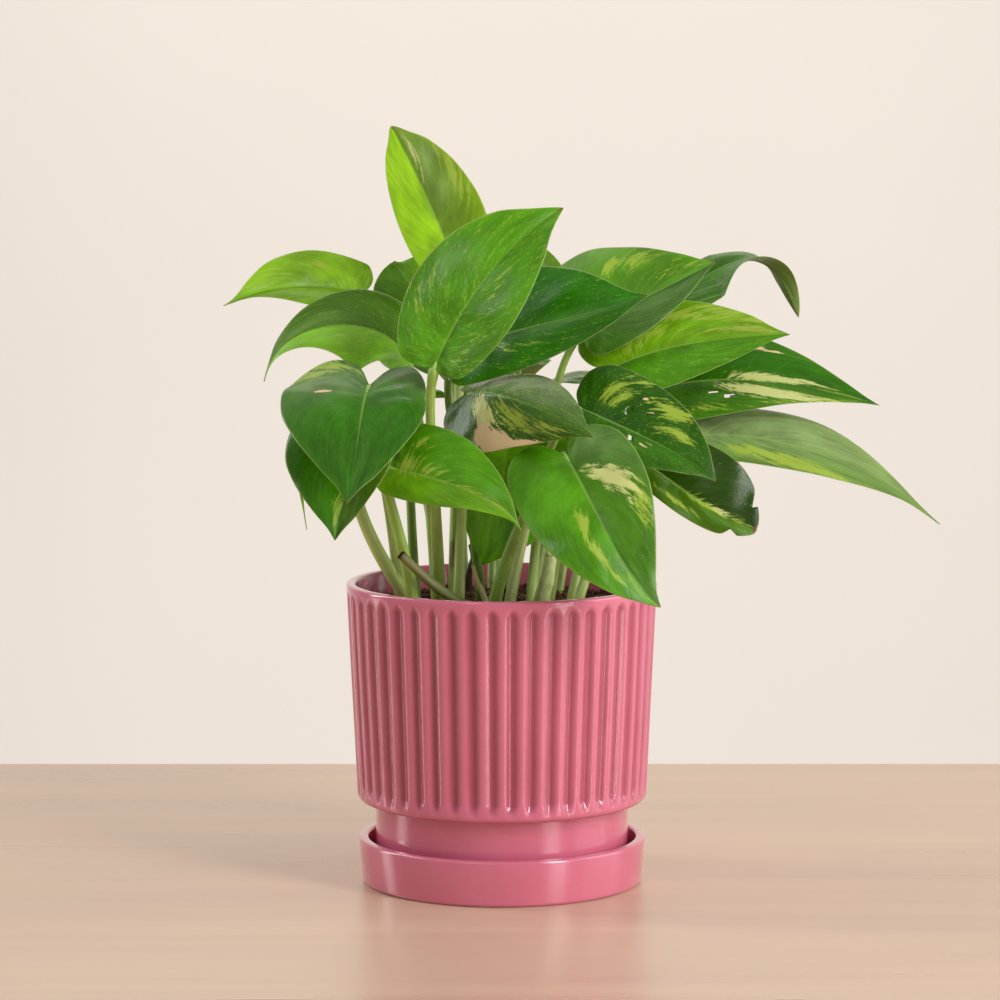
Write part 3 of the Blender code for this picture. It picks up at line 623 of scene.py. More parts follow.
# One row a leaf: the colours of its left and right halves with the tip up, how many pale flecks it has, how
# much its side veins show, and its patches as (kind, share of the length, share of the half width with left
# above 0, reach along, reach across, strength). holes: through the blade, as (along, across, reach, reach).
# bites: missing from the edge, as (side, along, reach, depth).
# Patches of the sheen kind are painted sheen: a paler grey-green laid where the waxy surface reflects the lamps.
leafLooks = {
    # crown: its cream patch near the tip on the right half is a painted highlight, standing in for gloss streaks there
    "crown": dict(left=(150, 192, 46), right=(126, 158, 44), flecks=0.3, veins=0.3, patches=(
        ("yellow", 0.72, 0.7, 0.12, 0.3, 0.45), ("yellow", 0.5, 0.8, 0.12, 0.2, 0.4), ("yellow", 0.66, -0.85, 0.12, 0.2, 0.8),
        ("cream", 0.86, -0.4, 0.08, 0.3, 0.6), ("painted_sheen", 0.8, -0.5, 0.15, 0.4, 0.5))),
    "big_centre": dict(left=(88, 150, 26), right=(80, 140, 26), flecks=0.75, veins=0.3, patches=(
        ("yellow", 0.55, 0.75, 0.12, 0.14, 0.4), ("yellow", 0.4, -0.5, 0.15, 0.2, 0.4), ("yellow", 0.75, -0.4, 0.12, 0.12, 0.4),
        ("painted_sheen", 0.45, -0.75, 0.15, 0.25, 0.12))),
    "dark_centre": dict(left=(46, 118, 18), right=(46, 108, 22), flecks=0.6, veins=0.25, patches=(
        ("yellow", 0.42, -0.3, 0.1, 0.1, 0.6), ("yellow", 0.55, -0.45, 0.08, 0.08, 0.5), ("painted_sheen", 0.75, -0.1, 0.2, 0.2, 0.25))),
    "folded": dict(left=(88, 142, 40), right=(56, 100, 28), flecks=0.5, veins=0.35, patches=(
        ("yellow", 0.59, 0.66, 0.04, 0.12, 0.8), ("yellow", 0.68, 0.75, 0.05, 0.2, 0.8), ("yellow", 0.84, 0.6, 0.09, 0.3, 0.6),
        ("painted_sheen", 0.45, 0.95, 0.2, 0.25, 0.6), ("painted_sheen", 0.75, -0.5, 0.25, 0.5, 0.35))),
    "curled_tip": dict(left=(56, 116, 12), right=(64, 124, 14), flecks=0.1, veins=0.8, patches=()),
    "right_upper": dict(left=(118, 166, 34), right=(84, 144, 28), flecks=0.6, veins=0.4, patches=(
        ("yellow", 0.62, 0.66, 0.14, 0.14, 0.9), ("yellow", 0.52, 0.36, 0.12, 0.12, 0.8), ("yellow", 0.74, 0.9, 0.12, 0.12, 0.9),
        ("yellow", 0.86, 0.6, 0.09, 0.3, 0.9), ("yellow", 0.4, 0.2, 0.14, 0.16, 0.6), ("yellow", 0.42, 0.75, 0.1, 0.2, 0.6))),
    "right_cream": dict(left=(50, 106, 18), right=(66, 116, 34), flecks=0.3, veins=0.4, patches=(
        ("cream", 0.71, 0.12, 0.12, 0.13, 1.0), ("cream", 0.8, 0.3, 0.06, 0.12, 0.8), ("cream", 0.66, -0.55, 0.07, 0.4, 1.0),
        ("cream", 0.6, -0.25, 0.05, 0.16, 0.9), ("yellow", 0.75, -0.9, 0.12, 0.16, 0.8), ("yellow", 0.47, -0.75, 0.1, 0.14, 0.7),
        ("yellow", 0.9, 0.0, 0.07, 0.6, 0.6), ("tan", 0.6, 0.72, 0.012, 0.06, 0.9), ("tan", 0.64, 0.78, 0.008, 0.05, 0.8)),
        holes=((0.545, -0.48, 0.014, 0.075), (0.5, -0.36, 0.009, 0.05))),
    "right_long": dict(left=(102, 132, 66), right=(96, 136, 52), flecks=0.15, veins=1.0, patches=(
        ("painted_sheen", 0.5, 0.3, 0.4, 0.8, 1.0), ("yellow", 0.56, -0.6, 0.1, 0.22, 1.0), ("yellow", 0.62, -0.82, 0.08, 0.14, 1.0),
        ("painted_sheen", 0.75, -0.5, 0.2, 0.6, 0.4))),
    "holed": dict(left=(44, 92, 14), right=(54, 104, 22), flecks=0.6, veins=0.25, patches=(
        ("yellow", 0.4, 0.5, 0.04, 0.26, 1.0), ("yellow", 0.46, 0.42, 0.03, 0.2, 1.0), ("yellow", 0.65, 0.75, 0.06, 0.22, 1.0),
        ("yellow", 0.74, 0.5, 0.05, 0.22, 0.9), ("yellow", 0.5, 0.9, 0.06, 0.1, 0.8), ("tan", 0.55, 0.62, 0.01, 0.04, 1.0),
        ("tan", 0.61, 0.47, 0.01, 0.05, 0.9), ("tan", 0.66, -0.35, 0.012, 0.06, 0.8), ("tan", 0.7, -0.2, 0.01, 0.06, 0.8)),
        holes=((0.53, 0.3, 0.012, 0.09), (0.6, 0.4, 0.008, 0.04), (0.6, -0.22, 0.011, 0.09))),
    "ragged": dict(left=(40, 68, 6), right=(74, 112, 24), flecks=0.3, veins=0.25, patches=(
        ("yellow", 0.74, -0.06, 0.13, 0.14, 1.0), ("cream", 0.8, 0.02, 0.06, 0.1, 0.8), ("yellow", 0.55, -0.6, 0.1, 0.12, 0.9),
        ("yellow", 0.9, 0.0, 0.06, 0.3, 0.6)), bites=((-1, 0.8, 0.03, 0.5), (1, 0.87, 0.025, 0.35))),
    "big_front": dict(left=(74, 124, 34), right=(84, 146, 28), flecks=0.2, veins=0.3, patches=(
        ("cream", 0.5, 0.5, 0.06, 0.28, 0.9), ("cream", 0.43, 0.3, 0.05, 0.2, 0.7), ("yellow", 0.58, 0.78, 0.06, 0.16, 0.9),
        ("yellow", 0.63, -0.3, 0.05, 0.12, 1.0), ("yellow", 0.72, -0.45, 0.06, 0.1, 1.0), ("yellow", 0.8, -0.6, 0.05, 0.1, 0.9),
        ("yellow", 0.93, -0.5, 0.06, 0.5, 0.6), ("painted_sheen", 0.25, 0.5, 0.15, 0.5, 0.6), ("painted_sheen", 0.3, 0.7, 0.12, 0.2, 0.4))),
    "blotched": dict(left=(70, 104, 56), right=(62, 104, 34), flecks=0.7, veins=0.3, patches=(
        ("painted_sheen", 0.4, 0.5, 0.3, 0.5, 0.6), ("cream", 0.46, -0.35, 0.1, 0.3, 1.0), ("tan", 0.55, -0.8, 0.1, 0.24, 1.0),
        ("tan", 0.66, -0.95, 0.08, 0.1, 1.0), ("yellow", 0.66, -0.45, 0.1, 0.4, 0.75), ("yellow", 0.8, -0.6, 0.1, 0.3, 0.7))),
    "heart": dict(left=(54, 108, 30), right=(56, 112, 26), flecks=0.2, veins=0.3, patches=(
        ("yellow", 0.25, -0.85, 0.12, 0.3, 0.85), ("yellow", 0.15, -0.7, 0.1, 0.2, 0.6), ("painted_sheen", 0.35, -0.5, 0.12, 0.5, 0.55),
        ("painted_sheen", 0.15, 0.6, 0.14, 0.4, 0.4), ("tan", 0.42, -0.5, 0.015, 0.1, 1.0))),
    "under_heart": dict(left=(78, 116, 40), right=(62, 126, 12), flecks=0.3, veins=0.3, patches=(
        ("yellow", 0.86, -0.35, 0.09, 0.3, 0.9),)),
    "low_centre": dict(left=(88, 152, 24), right=(110, 162, 34), flecks=0.5, veins=0.35, patches=(
        ("yellow", 0.3, 0.1, 0.12, 0.25, 0.8), ("yellow", 0.5, 0.1, 0.1, 0.15, 0.6), ("yellow", 0.72, 0.05, 0.14, 0.14, 0.7),
        ("yellow", 0.9, 0.3, 0.08, 0.5, 0.9), ("yellow", 0.45, 0.6, 0.06, 0.12, 0.7))),
    "hanging": dict(left=(112, 178, 16), right=(116, 182, 18), flecks=0.3, veins=0.5, patches=()),
    "left_top": dict(left=(122, 162, 48), right=(140, 184, 54), flecks=0.4, veins=0.5, patches=(
        ("yellow", 0.8, -0.7, 0.1, 0.3, 0.5), ("yellow", 0.5, -0.6, 0.12, 0.2, 0.5))),
    "left_arch": dict(left=(138, 196, 54), right=(84, 130, 26), flecks=0.6, veins=0.4, patches=(
        ("yellow", 0.6, 0.4, 0.1, 0.16, 0.5), ("painted_sheen", 0.8, -0.5, 0.15, 0.5, 0.4), ("painted_sheen", 0.75, 0.6, 0.15, 0.5, 0.3))),
    "left_slim": dict(left=(140, 178, 74), right=(132, 172, 66), flecks=0.2, veins=0.3, patches=()),
    "back_left_small": dict(left=(90, 136, 38), right=(104, 150, 34), flecks=0.3, veins=0.3, patches=()),
    "back_right_small": dict(left=(120, 158, 60), right=(112, 152, 48), flecks=0.3, veins=0.3, patches=()),
    "back_right": dict(left=(76, 128, 30), right=(66, 118, 26), flecks=0.4, veins=0.3, patches=(
        ("yellow", 0.5, 0.4, 0.12, 0.2, 0.9), ("cream", 0.62, -0.6, 0.08, 0.2, 0.8))),
    "back_left": dict(left=(70, 122, 28), right=(84, 136, 36), flecks=0.4, veins=0.3, patches=(
        ("yellow", 0.4, -0.5, 0.1, 0.25, 0.9), ("yellow", 0.7, 0.3, 0.1, 0.2, 0.8))),
    "back_middle": dict(left=(80, 134, 32), right=(72, 126, 28), flecks=0.5, veins=0.3, patches=(
        ("cream", 0.45, 0.55, 0.09, 0.25, 0.9), ("yellow", 0.65, -0.35, 0.12, 0.16, 0.9))),
    "back_low": dict(left=(64, 112, 22), right=(74, 120, 28), flecks=0.4, veins=0.3, patches=(
        ("yellow", 0.55, 0.2, 0.1, 0.16, 0.8),)),
}
# the sheen patch colour is painted sheen, a paler grey-green for the lamps' reflection on the wax, not a colour of the
# leaf
patchColours = dict(yellow=(158, 182, 66), cream=(204, 208, 134), tan=(222, 192, 148), painted_sheen=(142, 164, 116))


def midribAt(midrib, u):
    # points and directions at u on the cubic through the four midrib points; below 0 it runs on straight
    cubic = np.linalg.solve(np.vander([0, 1 / 3, 2 / 3, 1], 4, increasing=True), np.asarray(midrib, float))
    inside = np.maximum(u, 0)[..., None]
    points = cubic[0] + inside * (cubic[1] + inside * (cubic[2] + inside * cubic[3]))
    slopes = cubic[1] + inside * (2 * cubic[2] + inside * 3 * cubic[3])
    return points + np.minimum(u, 0)[..., None] * slopes, unit(slopes)


def bladeSheet(leaf, look, along, across, seed):
    # the middle of the blade at along, 0 notch to 1 tip, and across, -1 right edge to 1 left edge. A half rises
    # from the midrib at fold and turns evenly to edge: sideways w (sin(f + s o) - sin f) / s, and the same with
    # cos for the rise. Waves of the margin and a slight quilting between the veins push it along its normal.
    side, share = np.where(across < 0, -1.0, 1.0), np.abs(across)
    half = (across < 0).astype(int)
    edge = curveThrough(outline, along)
    edgeX = np.where(edge[..., 0] < 0, edge[..., 0] * leaf["lobe"], edge[..., 0])
    ribX = 0.97 * along**2
    x = ribX + (edgeX - ribX) * share**1.25
    out = np.maximum(edge[..., 1], 0) ** np.where(along > 0.5, leaf["taper"], 1) * share
    out = out * (1 + leaf["belly"] * 2 * (np.clip(x, 0, 0.8) - 0.35))
    for biteSide, place, reach, depth in look.get("bites", ()):
        out = out * (1 - depth * share**3 * (side == biteSide) * np.exp(-(((along - place) / reach) ** 2)))
    centre, forward = midribAt(leaf["midrib"], x)
    chord = np.subtract(leaf["midrib"][3], leaf["midrib"][0])
    aside = unit(np.cross(leaf["faces"], chord))
    aside = unit(aside - forward * (forward @ aside)[..., None])
    up = np.cross(forward, aside)
    turn = np.radians(leaf["twist"]) * np.clip(x - 0.4, 0, 1)
    cos, sin = np.cos(turn)[..., None], np.sin(turn)[..., None]
    aside, up = aside * cos + up * sin, up * cos - aside * sin
    fold = np.radians(np.take(leaf["fold"], half))
    slope = math.radians(leaf["edge"]) - fold
    width = np.take(leaf["halfWidth"], half)
    sideways = width * (np.sin(fold + slope * out) - np.sin(fold)) / slope
    rounded = out / (out + leafShape["rounding"])
    rise = width * (np.cos(fold) - np.cos(fold + slope * out)) / slope * rounded
    tilt = ((fold + slope * out) * rounded)[..., None]
    normal = up * np.cos(tilt) - side[..., None] * aside * np.sin(tilt)
    rng = np.random.default_rng(seed)
    beat, start = rng.uniform(1.2, 2.2, 2), rng.uniform(0, 6.28, (2, 2))
    phase, second = np.take(start[0], half), np.take(start[1], half)
    push = leafShape["wave"] * out**2 * np.sin(2 * math.pi * beat[0] * along + phase)
    push = push + leafShape["sway"] * out * (1 - out) * 2 * np.sin(2 * math.pi * beat[1] * along + second)
    ribs = np.sin(math.pi * leafShape["veins"] * (along - 0.05 * share)) ** 2
    push = push + leafShape["quilting"] * ribs * np.clip(out * 4, 0, 1) * (1 - share**4)
    dents = waves(np.stack([along * 80, across * 16, 0 * along], -1), 13, seed)
    push = push + leafShape["dents"] * dents * np.clip(out * 3, 0, 1)
    points = centre + (side * sideways)[..., None] * aside + (rise + push)[..., None] * normal
    return points, normal, sideways


def makeBlade(name, leaf, look, seed, shader):
    # the sheet's two faces: they meet in a thin edge, with a groove above the midrib and a ridge below it
    s = np.linspace(0, 1, leafShape["across"] + 1)
    steps = s - 0.6 * np.sin(2 * math.pi * s) / (2 * math.pi)
    length = np.linspace(0, 1, leafShape["along"] + 1)
    length = 0.15 * length + 0.85 * (length - 0.35 * np.sin(2 * math.pi * length) / (2 * math.pi))
    parts = []
    keep = None
    for sideSteps in (steps, -steps):
        along, across = np.meshgrid(length, sideSteps, indexing="ij")
        sheet, normal, sideways = bladeSheet(leaf, look, along, np.where(across == 0, sideSteps[-1] * 1e-9, across), seed)
        full = np.sqrt(np.clip(1 - np.abs(across) ** 8, 0, 1))
        near = np.exp(-((sideways / leafShape["ridgeWidth"]) ** 2)) * (1 - 0.75 * along)
        faces = gridFaces(len(length), len(steps))
        keep = np.ones(len(faces), bool)
        middle = np.stack([along, across], -1).reshape(-1, 2)[faces].mean(1)
        for hole in look.get("holes", ()):
            keep &= (((middle - hole[:2]) / hole[2:]) ** 2).sum(1) > 1
        for face in (1, -1):
            depth = full * (leafShape["thickness"] / 2 + np.where(face > 0, -leafShape["groove"], leafShape["ridge"]) * near)
            points = (sheet + face * depth[..., None] * normal) * mm
            parts.append((points.reshape(-1, 3), faces[keep], bladeMarks(leaf, look, along, across, face)))
        # a wall around each hole, between the two faces
        edges = np.sort(np.stack([faces[~keep], np.roll(faces[~keep], -1, 1)], -1).reshape(-1, 2), 1)
        lines, count = np.unique(edges, axis=0, return_counts=True)
        lines = lines[count == 1]
        both = (np.concatenate([parts[-2][0], parts[-1][0]]), np.column_stack([lines, lines[:, ::-1] + along.size]),
                {key: np.concatenate([parts[-2][2][key], parts[-1][2][key]]) for key in parts[-1][2]})
        if len(lines):
            parts.append(both)
    return addPiece(f"blade_{name}", parts, shader, f"leaf_{name}")


def bladeMarks(leaf, look, along, across, face):
    # what the shader reads: the half's own colour with its soft patches of painted sheen, a paler grey-green where the
    # waxy
    #     # surface reflects the lamps, how much yellow, cream and tan there is, the place on the blade in millimetres,
    #     and the face, flecks and veins
    left, right = linear(look["left"]), linear(look["right"])
    tint = (right + (left - right) * smooth(-0.05, 0.05, across)[..., None]) * (0.84, 0.94, 0.24)
    masks = dict(yellow=0 * along, cream=0 * along, tan=0 * along, painted_sheen=0 * along)
    for kind, place, beside, reach, width, strength in look["patches"]:
        lean = 0.22 * (np.abs(across) - abs(beside))
        far = ((along - place - lean) / reach) ** 2 + ((across - beside) / width) ** 2
        masks[kind] = np.maximum(masks[kind], strength * np.exp(-0.7 * far))
    # painted sheen: the sheen patches pull the tint toward a pale grey-green, standing in for the lamps' reflection on
    # the wax
    tint = tint + (linear(patchColours["painted_sheen"]) - tint) * (masks["painted_sheen"] * 0.6)[..., None]
    size = np.linalg.norm(np.subtract(leaf["midrib"][3], leaf["midrib"][0]))
    place = np.stack([along * size, across * np.mean(leaf["halfWidth"]), 0 * along + leaf["foot"][0]], -1)
    sides = np.stack([0 * along + face * 0.5 + 0.5, 0 * along + look["flecks"], 0 * along + look["veins"]], -1)
    tint = np.concatenate([tint, np.ones(tint.shape[:-1] + (1,))], -1)
    return {"tint": tint.reshape(-1, 4), "patch": np.stack([masks["yellow"], masks["cream"], masks["tan"]], -1).reshape(-1, 3),
            "place": place.reshape(-1, 3), "share": np.stack([along, across, 0 * along], -1).reshape(-1, 3),
            "sides": sides.reshape(-1, 3)}


bladeLook = dict(midrib=(150, 186, 84), margin=(176, 196, 118), under=(136, 154, 84), brown=(120, 74, 40))


def buildBlade(wire):
    # a waxy leaf: paler midrib, side veins and margin, variegation broken into streaks that follow the veins,
    # and a duller, greyer underside
    along, across, spare = wire.mark("share", "Vector").split()
    lengthwise, crosswise, seed = wire.mark("place", "Vector").split()
    face, flecks, veins = wire.mark("sides", "Vector").split()
    yellow, cream, tan = wire.mark("patch", "Vector").split()
    beside = across.size()
    slant = along - beside * 0.22
    streak = wire.vector(slant * 46 + seed, crosswise * 0.13, seed * 0.37)
    broken = wire.noise(streak, 1.0, 5, 0.65)
    fine = wire.noise(wire.vector(slant * 110 + seed, crosswise * 0.8, seed), 1.0, 3, 0.6)
    cloud = wire.noise(wire.vector(lengthwise * 0.07 + seed, crosswise * 0.07, seed), 1.0, 3)
    tone = cloud.within(0.3, 0.7, 0.74, 1.2) * broken.within(0.25, 0.75, 0.88, 1.12)
    colour = wire.mark("tint") * wire.vector(tone, tone, tone)
    # fine parallel veins, and a few stronger ones, along the lines that run from the midrib to the margin
    wander = along + (cloud - 0.5) * 0.02
    ribs = (wander * 13 * math.pi).sin().size()
    strong = ribs.within(0.16, 0.0) * beside.within(1.0, 0.55) * veins
    thread = wire.noise(wire.vector((wander - beside * 0.4) * 95, seed, beside * 0.8), 1.0, 1).within(0.5, 0.72) * veins
    colour = (strong * 0.12 + thread * 0.16 + thread * veins * 0.6 * veins).mix(colour, linear((160, 182, 112)))
    lightness = (broken - 0.5) * 1.7 + (fine - 0.5) * 0.7
    fleck = ((fine - 0.5) * 1.5 + (broken - 0.5) * 0.8 + flecks * 0.4).within(0.38, 0.56) * 0.55
    yellowish = (yellow * 0.95 + lightness * 1.4).within(0.34, 0.8) * yellow.within(0.05, 0.3)
    creamy = (cream * 1.0 + lightness * 1.2).within(0.38, 0.66) * cream.within(0.05, 0.3)
    tanned = (tan + lightness * 0.7 + (cloud - 0.5) * 0.6).within(0.4, 0.54) * tan.within(0.05, 0.3)
    colour = fleck.mix(colour, linear(patchColours["yellow"]))
    colour = (yellowish * 0.85).mix(colour, linear(patchColours["yellow"]))
    colour = (creamy * 0.9).mix(colour, linear(patchColours["cream"]))
    colour = tanned.mix(colour, linear(patchColours["tan"]))
    spots = fine.within(0.66, 0.74) * tanned
    colour = (spots * 0.7).mix(colour, linear(bladeLook["brown"]))
    # the midrib narrows to the tip, and the margin is a thin light line
    rib = crosswise.size().within(0.75, 0.15) * along.within(1.0, 0.4, 0.15, 0.5)
    colour = rib.mix(colour, linear(bladeLook["midrib"]))
    margin = beside.within(0.978, 0.995)
    colour = (margin * 0.4).mix(colour, linear(bladeLook["margin"]))
    tip = along.within(0.985, 0.998) * beside.within(0.0, 0.1)
    colour = (tip * 0.7).mix(colour, linear(bladeLook["brown"]))
    under = face.within(0.6, 0.4)
    colour = (under * 0.6).mix(colour, linear(bladeLook["under"]))
    roughness = cloud.within(0.3, 0.7, 0.17, 0.27) + tanned * 0.3 + under * 0.25
    height = ribs.within(0.0, 0.3) * 0.12 + thread * 0.5 + wire.noise(wire.vector(lengthwise, crosswise, seed), 1.4, 3) * 0.4
    return {"Base Color": colour, "Roughness": roughness, "Normal": wire.bump(height, 0.00022, 0.7)}


# ---- the stalks -------------------------------------------------------------------------------------------

stalkShape = dict(radius=1.5, thickness=0.6, gap=0.3, lift=0.6, sides=16, steps=44, groove=0.1, sheath=0.45, knee=0.16)

# for each stalk: its radius, and its colour at the foot and at the blade
stalkLooks = {
    "left_slim": (1.7, (176, 192, 112), (150, 182, 84)), "under_heart": (1.9, (176, 186, 116), (150, 180, 84)),
    "heart": (2.5, (184, 202, 120), (152, 184, 84)), "low_centre": (2.3, (160, 192, 88), (150, 190, 76)),
    "big_front": (2.3, (132, 172, 66), (150, 188, 80)), "blotched": (2.1, (184, 204, 122), (150, 184, 80)),
    "big_centre": (2.3, (176, 200, 104), (168, 200, 96)), "hanging": (1.7, (190, 208, 132), (160, 196, 88)),
    "left_top": (1.8, (120, 150, 58), (160, 194, 90)), "left_arch": (2.0, (184, 202, 124), (160, 194, 86)),
    "crown": (2.1, (180, 202, 120), (186, 208, 124)), "dark_centre": (1.8, (104, 140, 50), (104, 146, 46)),
    "holed": (2.0, (190, 206, 136), (166, 194, 100)), "ragged": (1.7, (140, 170, 76), (130, 164, 66)),
}
plainStalk = (1.8, (170, 192, 108), (150, 184, 84))
cuttings = {
    "vine_cut_end": dict(route=((-12, -34, 119.5), (-20, -37, 124), (-30, -41, 132), (-41, -45, 143)), radius=(2.1, 1.9),
                         foot=(120, 142, 66), end=(112, 112, 52), tip=(74, 44, 26)),
    "vine_node": dict(route=((16, -29, 118.4), (17, -31, 125), (19, -32, 133), (20, -31, 141)), radius=(3.4, 2.4),
                      foot=(170, 186, 120), end=(176, 192, 120), tip=(150, 140, 90)),
    "sheath_dry": dict(route=((-6, -40, 117), (-7, -39, 124), (-10, -38, 131), (-12, -37, 138)), radius=(1.5, 0.7),
                       foot=(150, 150, 96), end=(168, 156, 104), tip=(130, 96, 60)),
    "twig_dark": dict(route=((-14, 24, 118), (-14, 23, 126), (-12, 22, 133), (-13, 21, 139)), radius=(1.7, 1.2),
                      foot=(62, 40, 32), end=(70, 50, 34), tip=(50, 34, 28)),
}


def stalkRoute(leaf, count):
    # from the soil up to just behind the blade: a cubic that leaves the foot leaning and comes in along the
    # blade's own direction, then runs on under the base of the midrib
    point, forward = midribAt(leaf["midrib"], np.zeros(1))
    point, forward = point[0], forward[0]
    up = np.asarray(leaf["faces"], float)
    up = unit(up - forward * (forward @ up))
    x, y = leaf["foot"]
    foot = np.array([x, y, soilHeight(x, y) + stalkShape["gap"] + stalkShape["lift"]])
    leaving = unit(-forward - 0.9 * up)
    top = point + leaving * (stalkShape["radius"] + stalkShape["thickness"] + 2 * stalkShape["gap"])
    reach = np.linalg.norm(top - foot)
    lean = unit(0.5 * (top - foot) * (1, 1, 0) + (0, 0, reach))
    bow = np.asarray(leaf.get("bow", (0, 0, 0)))
    rise = foot + lean * 0.45 * reach + bow
    knee = top + leaving * 0.22 * reach + 0.5 * bow
    t = np.linspace(0, 1, count)[:, None]
    route = (1 - t) ** 3 * foot + 3 * (1 - t) ** 2 * t * rise + 3 * (1 - t) * t**2 * knee + t**3 * top
    s = np.linspace(0, 1, 9)[1:, None]
    meet, under = point - 0.7 * up, point + 4.5 * forward - 0.55 * up
    ending = (1 - s) ** 2 * top + 2 * s * (1 - s) * meet + s**2 * under
    start = route[:1] - np.array([[0, 0, 3.0], [0, 0, 1.5]])
    return np.vstack([start, route, ending]), up


def makeStalk(name, leaf, look, shader):
    # a bar that is stoutest at its sheathed foot, thickens at the knee below the blade, and dies into the midrib
    size, foot, end = look
    route, up = stalkRoute(leaf, stalkShape["steps"])
    t = np.linspace(0, 1, len(route))
    radius = size * (0.8 + stalkShape["sheath"] * (1 - t) ** 2 + stalkShape["knee"] * np.exp(-(((t - 0.83) / 0.05) ** 2)))
    radius = radius * np.where(t > 0.86, 1 - 0.72 * smooth(0.86, 1.0, t), 1)
    first, last = linear(foot), linear(end)
    part = tube(route * mm, radius * mm, stalkShape["sides"], up, stalkShape["groove"],
                {"foot": [*first, 1], "end": [*last, 1], "tip": [*last, 1]})
    return addPiece(f"petiole_{name}", [part], shader, f"stalk_{name}")


def makeCutting(name, cutting, shader):
    # a bare length of vine, cut off square and dried at the cut
    route = curveThrough(cutting["route"], np.linspace(0, 1, 30)) * mm
    t = np.linspace(0, 1, 30)
    radius = cutting["radius"][0] + (cutting["radius"][1] - cutting["radius"][0]) * t + 0.25 * np.exp(-(((t - 0.55) / 0.06) ** 2))
    colours = {key: [*linear(cutting[key]), 1] for key in ("foot", "end", "tip")}
    part = tube(route, radius * mm, 16, (0.3, -0.9, 0.3), 0.12, colours)
    return addPiece(f"stub_{name}", [part], shader, name)


def buildStalk(wire):
    # long streaks of lighter and darker green, brown scars near the foot, and a dried tip
    run, cosine, sine = wire.mark("place", "Vector").split()
    place = wire.objectPlace()
    streak = wire.noise(wire.vector(run * 5, cosine * 1.4, sine * 1.4) + place * 30, 1.6, 4, 0.6)
    colour = run.within(0.0, 0.8).mix(wire.mark("foot"), wire.mark("end"))
    tone = streak.within(0.3, 0.7, 0.84, 1.14)
    colour = colour * wire.vector(tone, tone, tone)
    scar = wire.noise(place * (1, 1, 0.5), 130, 3).within(0.62, 0.72) * run.within(0.45, 0.05)
    colour = (scar * 0.6).mix(colour, linear((112, 76, 44)))
    colour = (run.within(0.96, 0.995) * 0.8).mix(colour, wire.mark("tip"))
    roughness = streak.within(0.3, 0.7, 0.38, 0.52)
    height = streak * 0.7 + wire.noise(place, 900, 2) * 0.3
    return {"Base Color": colour, "Roughness": roughness, "Normal": wire.bump(height, 0.0003, 0.6)}


# ---- the table, the wall, the lamps and the camera --------------------------------------------------------

stageShape = dict(tableBack=0.27, tableFront=-1.75, halfWidth=1.6, wall=2.1, wallTop=3.0, wallFoot=-1.6)


def addStage(name, points, faces, look):
    data = bpy.data.meshes.new(name)
    data.from_pydata(points, [], faces)
    data.materials.append(look)
    made = bpy.data.objects.new(name, data)
    bpy.context.scene.collection.objects.link(made)
    return made


def buildTable(wire):
    # pale wood with a faint grain across the view
    place = wire.objectPlace()
    x, y, z = place.split()
    grain = wire.noise(wire.vector(x * 2.2, y * 34, z), 1.0, 4) * 0.7 + wire.noise(wire.vector(x * 1.1, y * 7, z), 1.0, 3) * 0.3
    colour = grain.within(0.25, 0.75).mix(linear((192, 161, 137)), linear((210, 181, 156)))
    return {"Base Color": colour, "Roughness": grain.within(0.3, 0.7, 0.26, 0.34)}


def buildWall(wire):
    cloud = wire.noise(wire.objectPlace(), 2.0, 2)
    return {"Base Color": cloud.within(0.3, 0.7).mix(linear((239, 230, 220)), linear((241, 232, 222)))}


def makeStage():
    shape = stageShape
    w, back, front = shape["halfWidth"], shape["tableBack"], shape["tableFront"]
    corners = [(-w, front, 0), (w, front, 0), (w, back, 0), (-w, back, 0)]
    corners += [(x, y, -0.03) for x, y, z in corners]
    sides = [(0, 1, 2, 3), (7, 6, 5, 4), (0, 4, 5, 1), (1, 5, 6, 2), (2, 6, 7, 3), (3, 7, 4, 0)]
    addStage("table", corners, sides, material("table_wood", buildTable))
    low, high, far = shape["wallFoot"], shape["wallTop"], shape["wall"]
    wall = [(-3.5, far, low), (3.5, far, low), (3.5, far, high), (-3.5, far, high)]
    addStage("wall", wall, [(0, 1, 2, 3)], material("wall_paint", buildWall, Roughness=0.9))


# each lamp: its place, where it points, its width and height, its power and its colour
lamps = {
    "key": ((1.15, -1.1, 0.78), (0, 0, 0.15), (0.42, 1.4), 23, (1, 0.985, 0.97)),
    "side": ((1.6, 0.0, 0.72), (0, 0, 0.12), (1.2, 1.35), 13, (1, 0.99, 0.98)),
    "window": ((-1.15, 0.3, 0.72), (0, 0, 0.18), (0.26, 1.35), 9, (1, 1, 0.99)),
    "front": ((-0.7, -1.5, 1.3), (0, 0, 0.15), (0.3, 0.3), 2.2, (0.98, 0.99, 1)),
    "wash": ((-0.3, 0.7, 1.9), (-0.1, 2.1, 1.6), (1.8, 0.5), 23, (1, 0.99, 0.98)),
    "foot": ((-0.1, 1.0, -1.3), (-0.1, 2.1, 0.1), (1.8, 0.4), 9, (1, 0.99, 0.98)),
}
worldLight = dict(colour=(1, 0.985, 0.965), strength=0.36)
cameraPlace = dict(location=(-0.0008, -1.5904, 0.3362), pitch=83.69, lens=138.15, sensor=36.0)


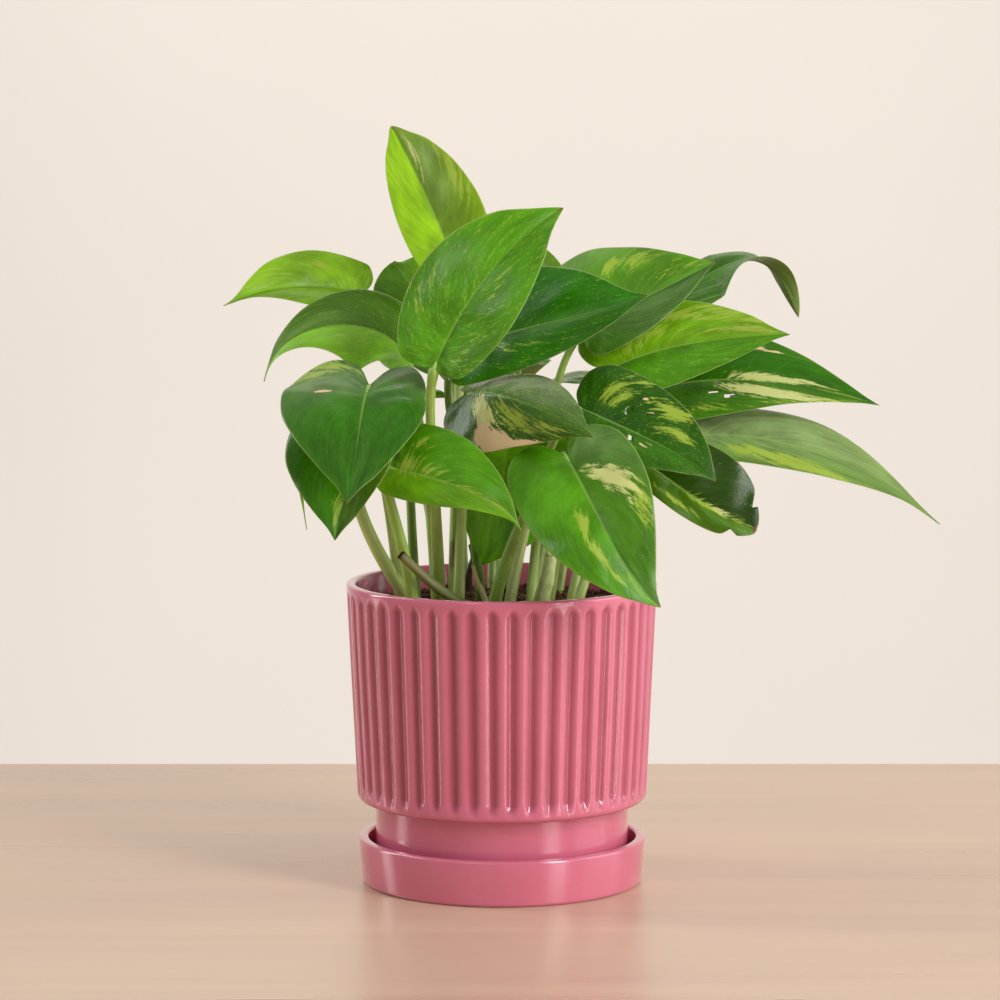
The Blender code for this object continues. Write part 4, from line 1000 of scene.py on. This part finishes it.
def makeLights():
    for name, (place, target, size, power, colour) in lamps.items():
        light = bpy.data.lights.new(name, "AREA")
        light.shape = "RECTANGLE"
        light.size, light.size_y = size
        light.energy = power
        light.color = colour
        lamp = bpy.data.objects.new(name, light)
        lamp.location = place
        lamp.rotation_euler = (Vector(target) - Vector(place)).to_track_quat("-Z", "Y").to_euler()
        bpy.context.scene.collection.objects.link(lamp)
    world = bpy.data.worlds.new("studio")
    world.use_nodes = True
    shade = world.node_tree.nodes["Background"]
    shade.inputs["Color"].default_value = (*worldLight["colour"], 1)
    shade.inputs["Strength"].default_value = worldLight["strength"]
    bpy.context.scene.world = world


def makeCamera():
    data = bpy.data.cameras.new("camera")
    data.lens, data.sensor_width = cameraPlace["lens"], cameraPlace["sensor"]
    data.clip_start, data.clip_end = 0.05, 20
    camera = bpy.data.objects.new("camera", data)
    camera.location = cameraPlace["location"]
    camera.rotation_euler = (math.radians(cameraPlace["pitch"]), 0, 0)
    bpy.context.scene.collection.objects.link(camera)
    bpy.context.scene.camera = camera
    bpy.context.scene.view_settings.view_transform = "Standard"


# ---- everything together ----------------------------------------------------------------------------------

glaze = material("pink_glaze_look", buildGlaze, Coat_Weight=0.7, Coat_Roughness=0.1)
makeSaucer(glaze)
makePot(glaze)
print("pot and saucer made")
addPiece("soil_top", [soilBed(), crumbs(), fibres()], material("potting_mix_look", buildSoil), "soil")
print("potting mix made")
leafSkin = material("leaf_look", buildBlade, Specular_IOR_Level=0.28, Subsurface_Weight=0.18,
                    Subsurface_Radius=(1.0, 1.0, 0.25), Subsurface_Scale=0.0015)
stalkSkin = material("stalk_look", buildStalk, Subsurface_Weight=0.2, Subsurface_Radius=(1.0, 1.0, 0.4), Subsurface_Scale=0.002)
for count, (name, leaf) in enumerate(leaves.items()):
    makeBlade(name, leaf, leafLooks[name], count + 1, leafSkin)
    makeStalk(name, leaf, stalkLooks.get(name, plainStalk), stalkSkin)
print("leaves and stalks made:", len(leaves))
for name, cutting in cuttings.items():
    makeCutting(name, cutting, stalkSkin)
print("vine stubs made:", len(cuttings))
makeStage()
makeLights()
makeCamera()
print("stage, lights and camera made")
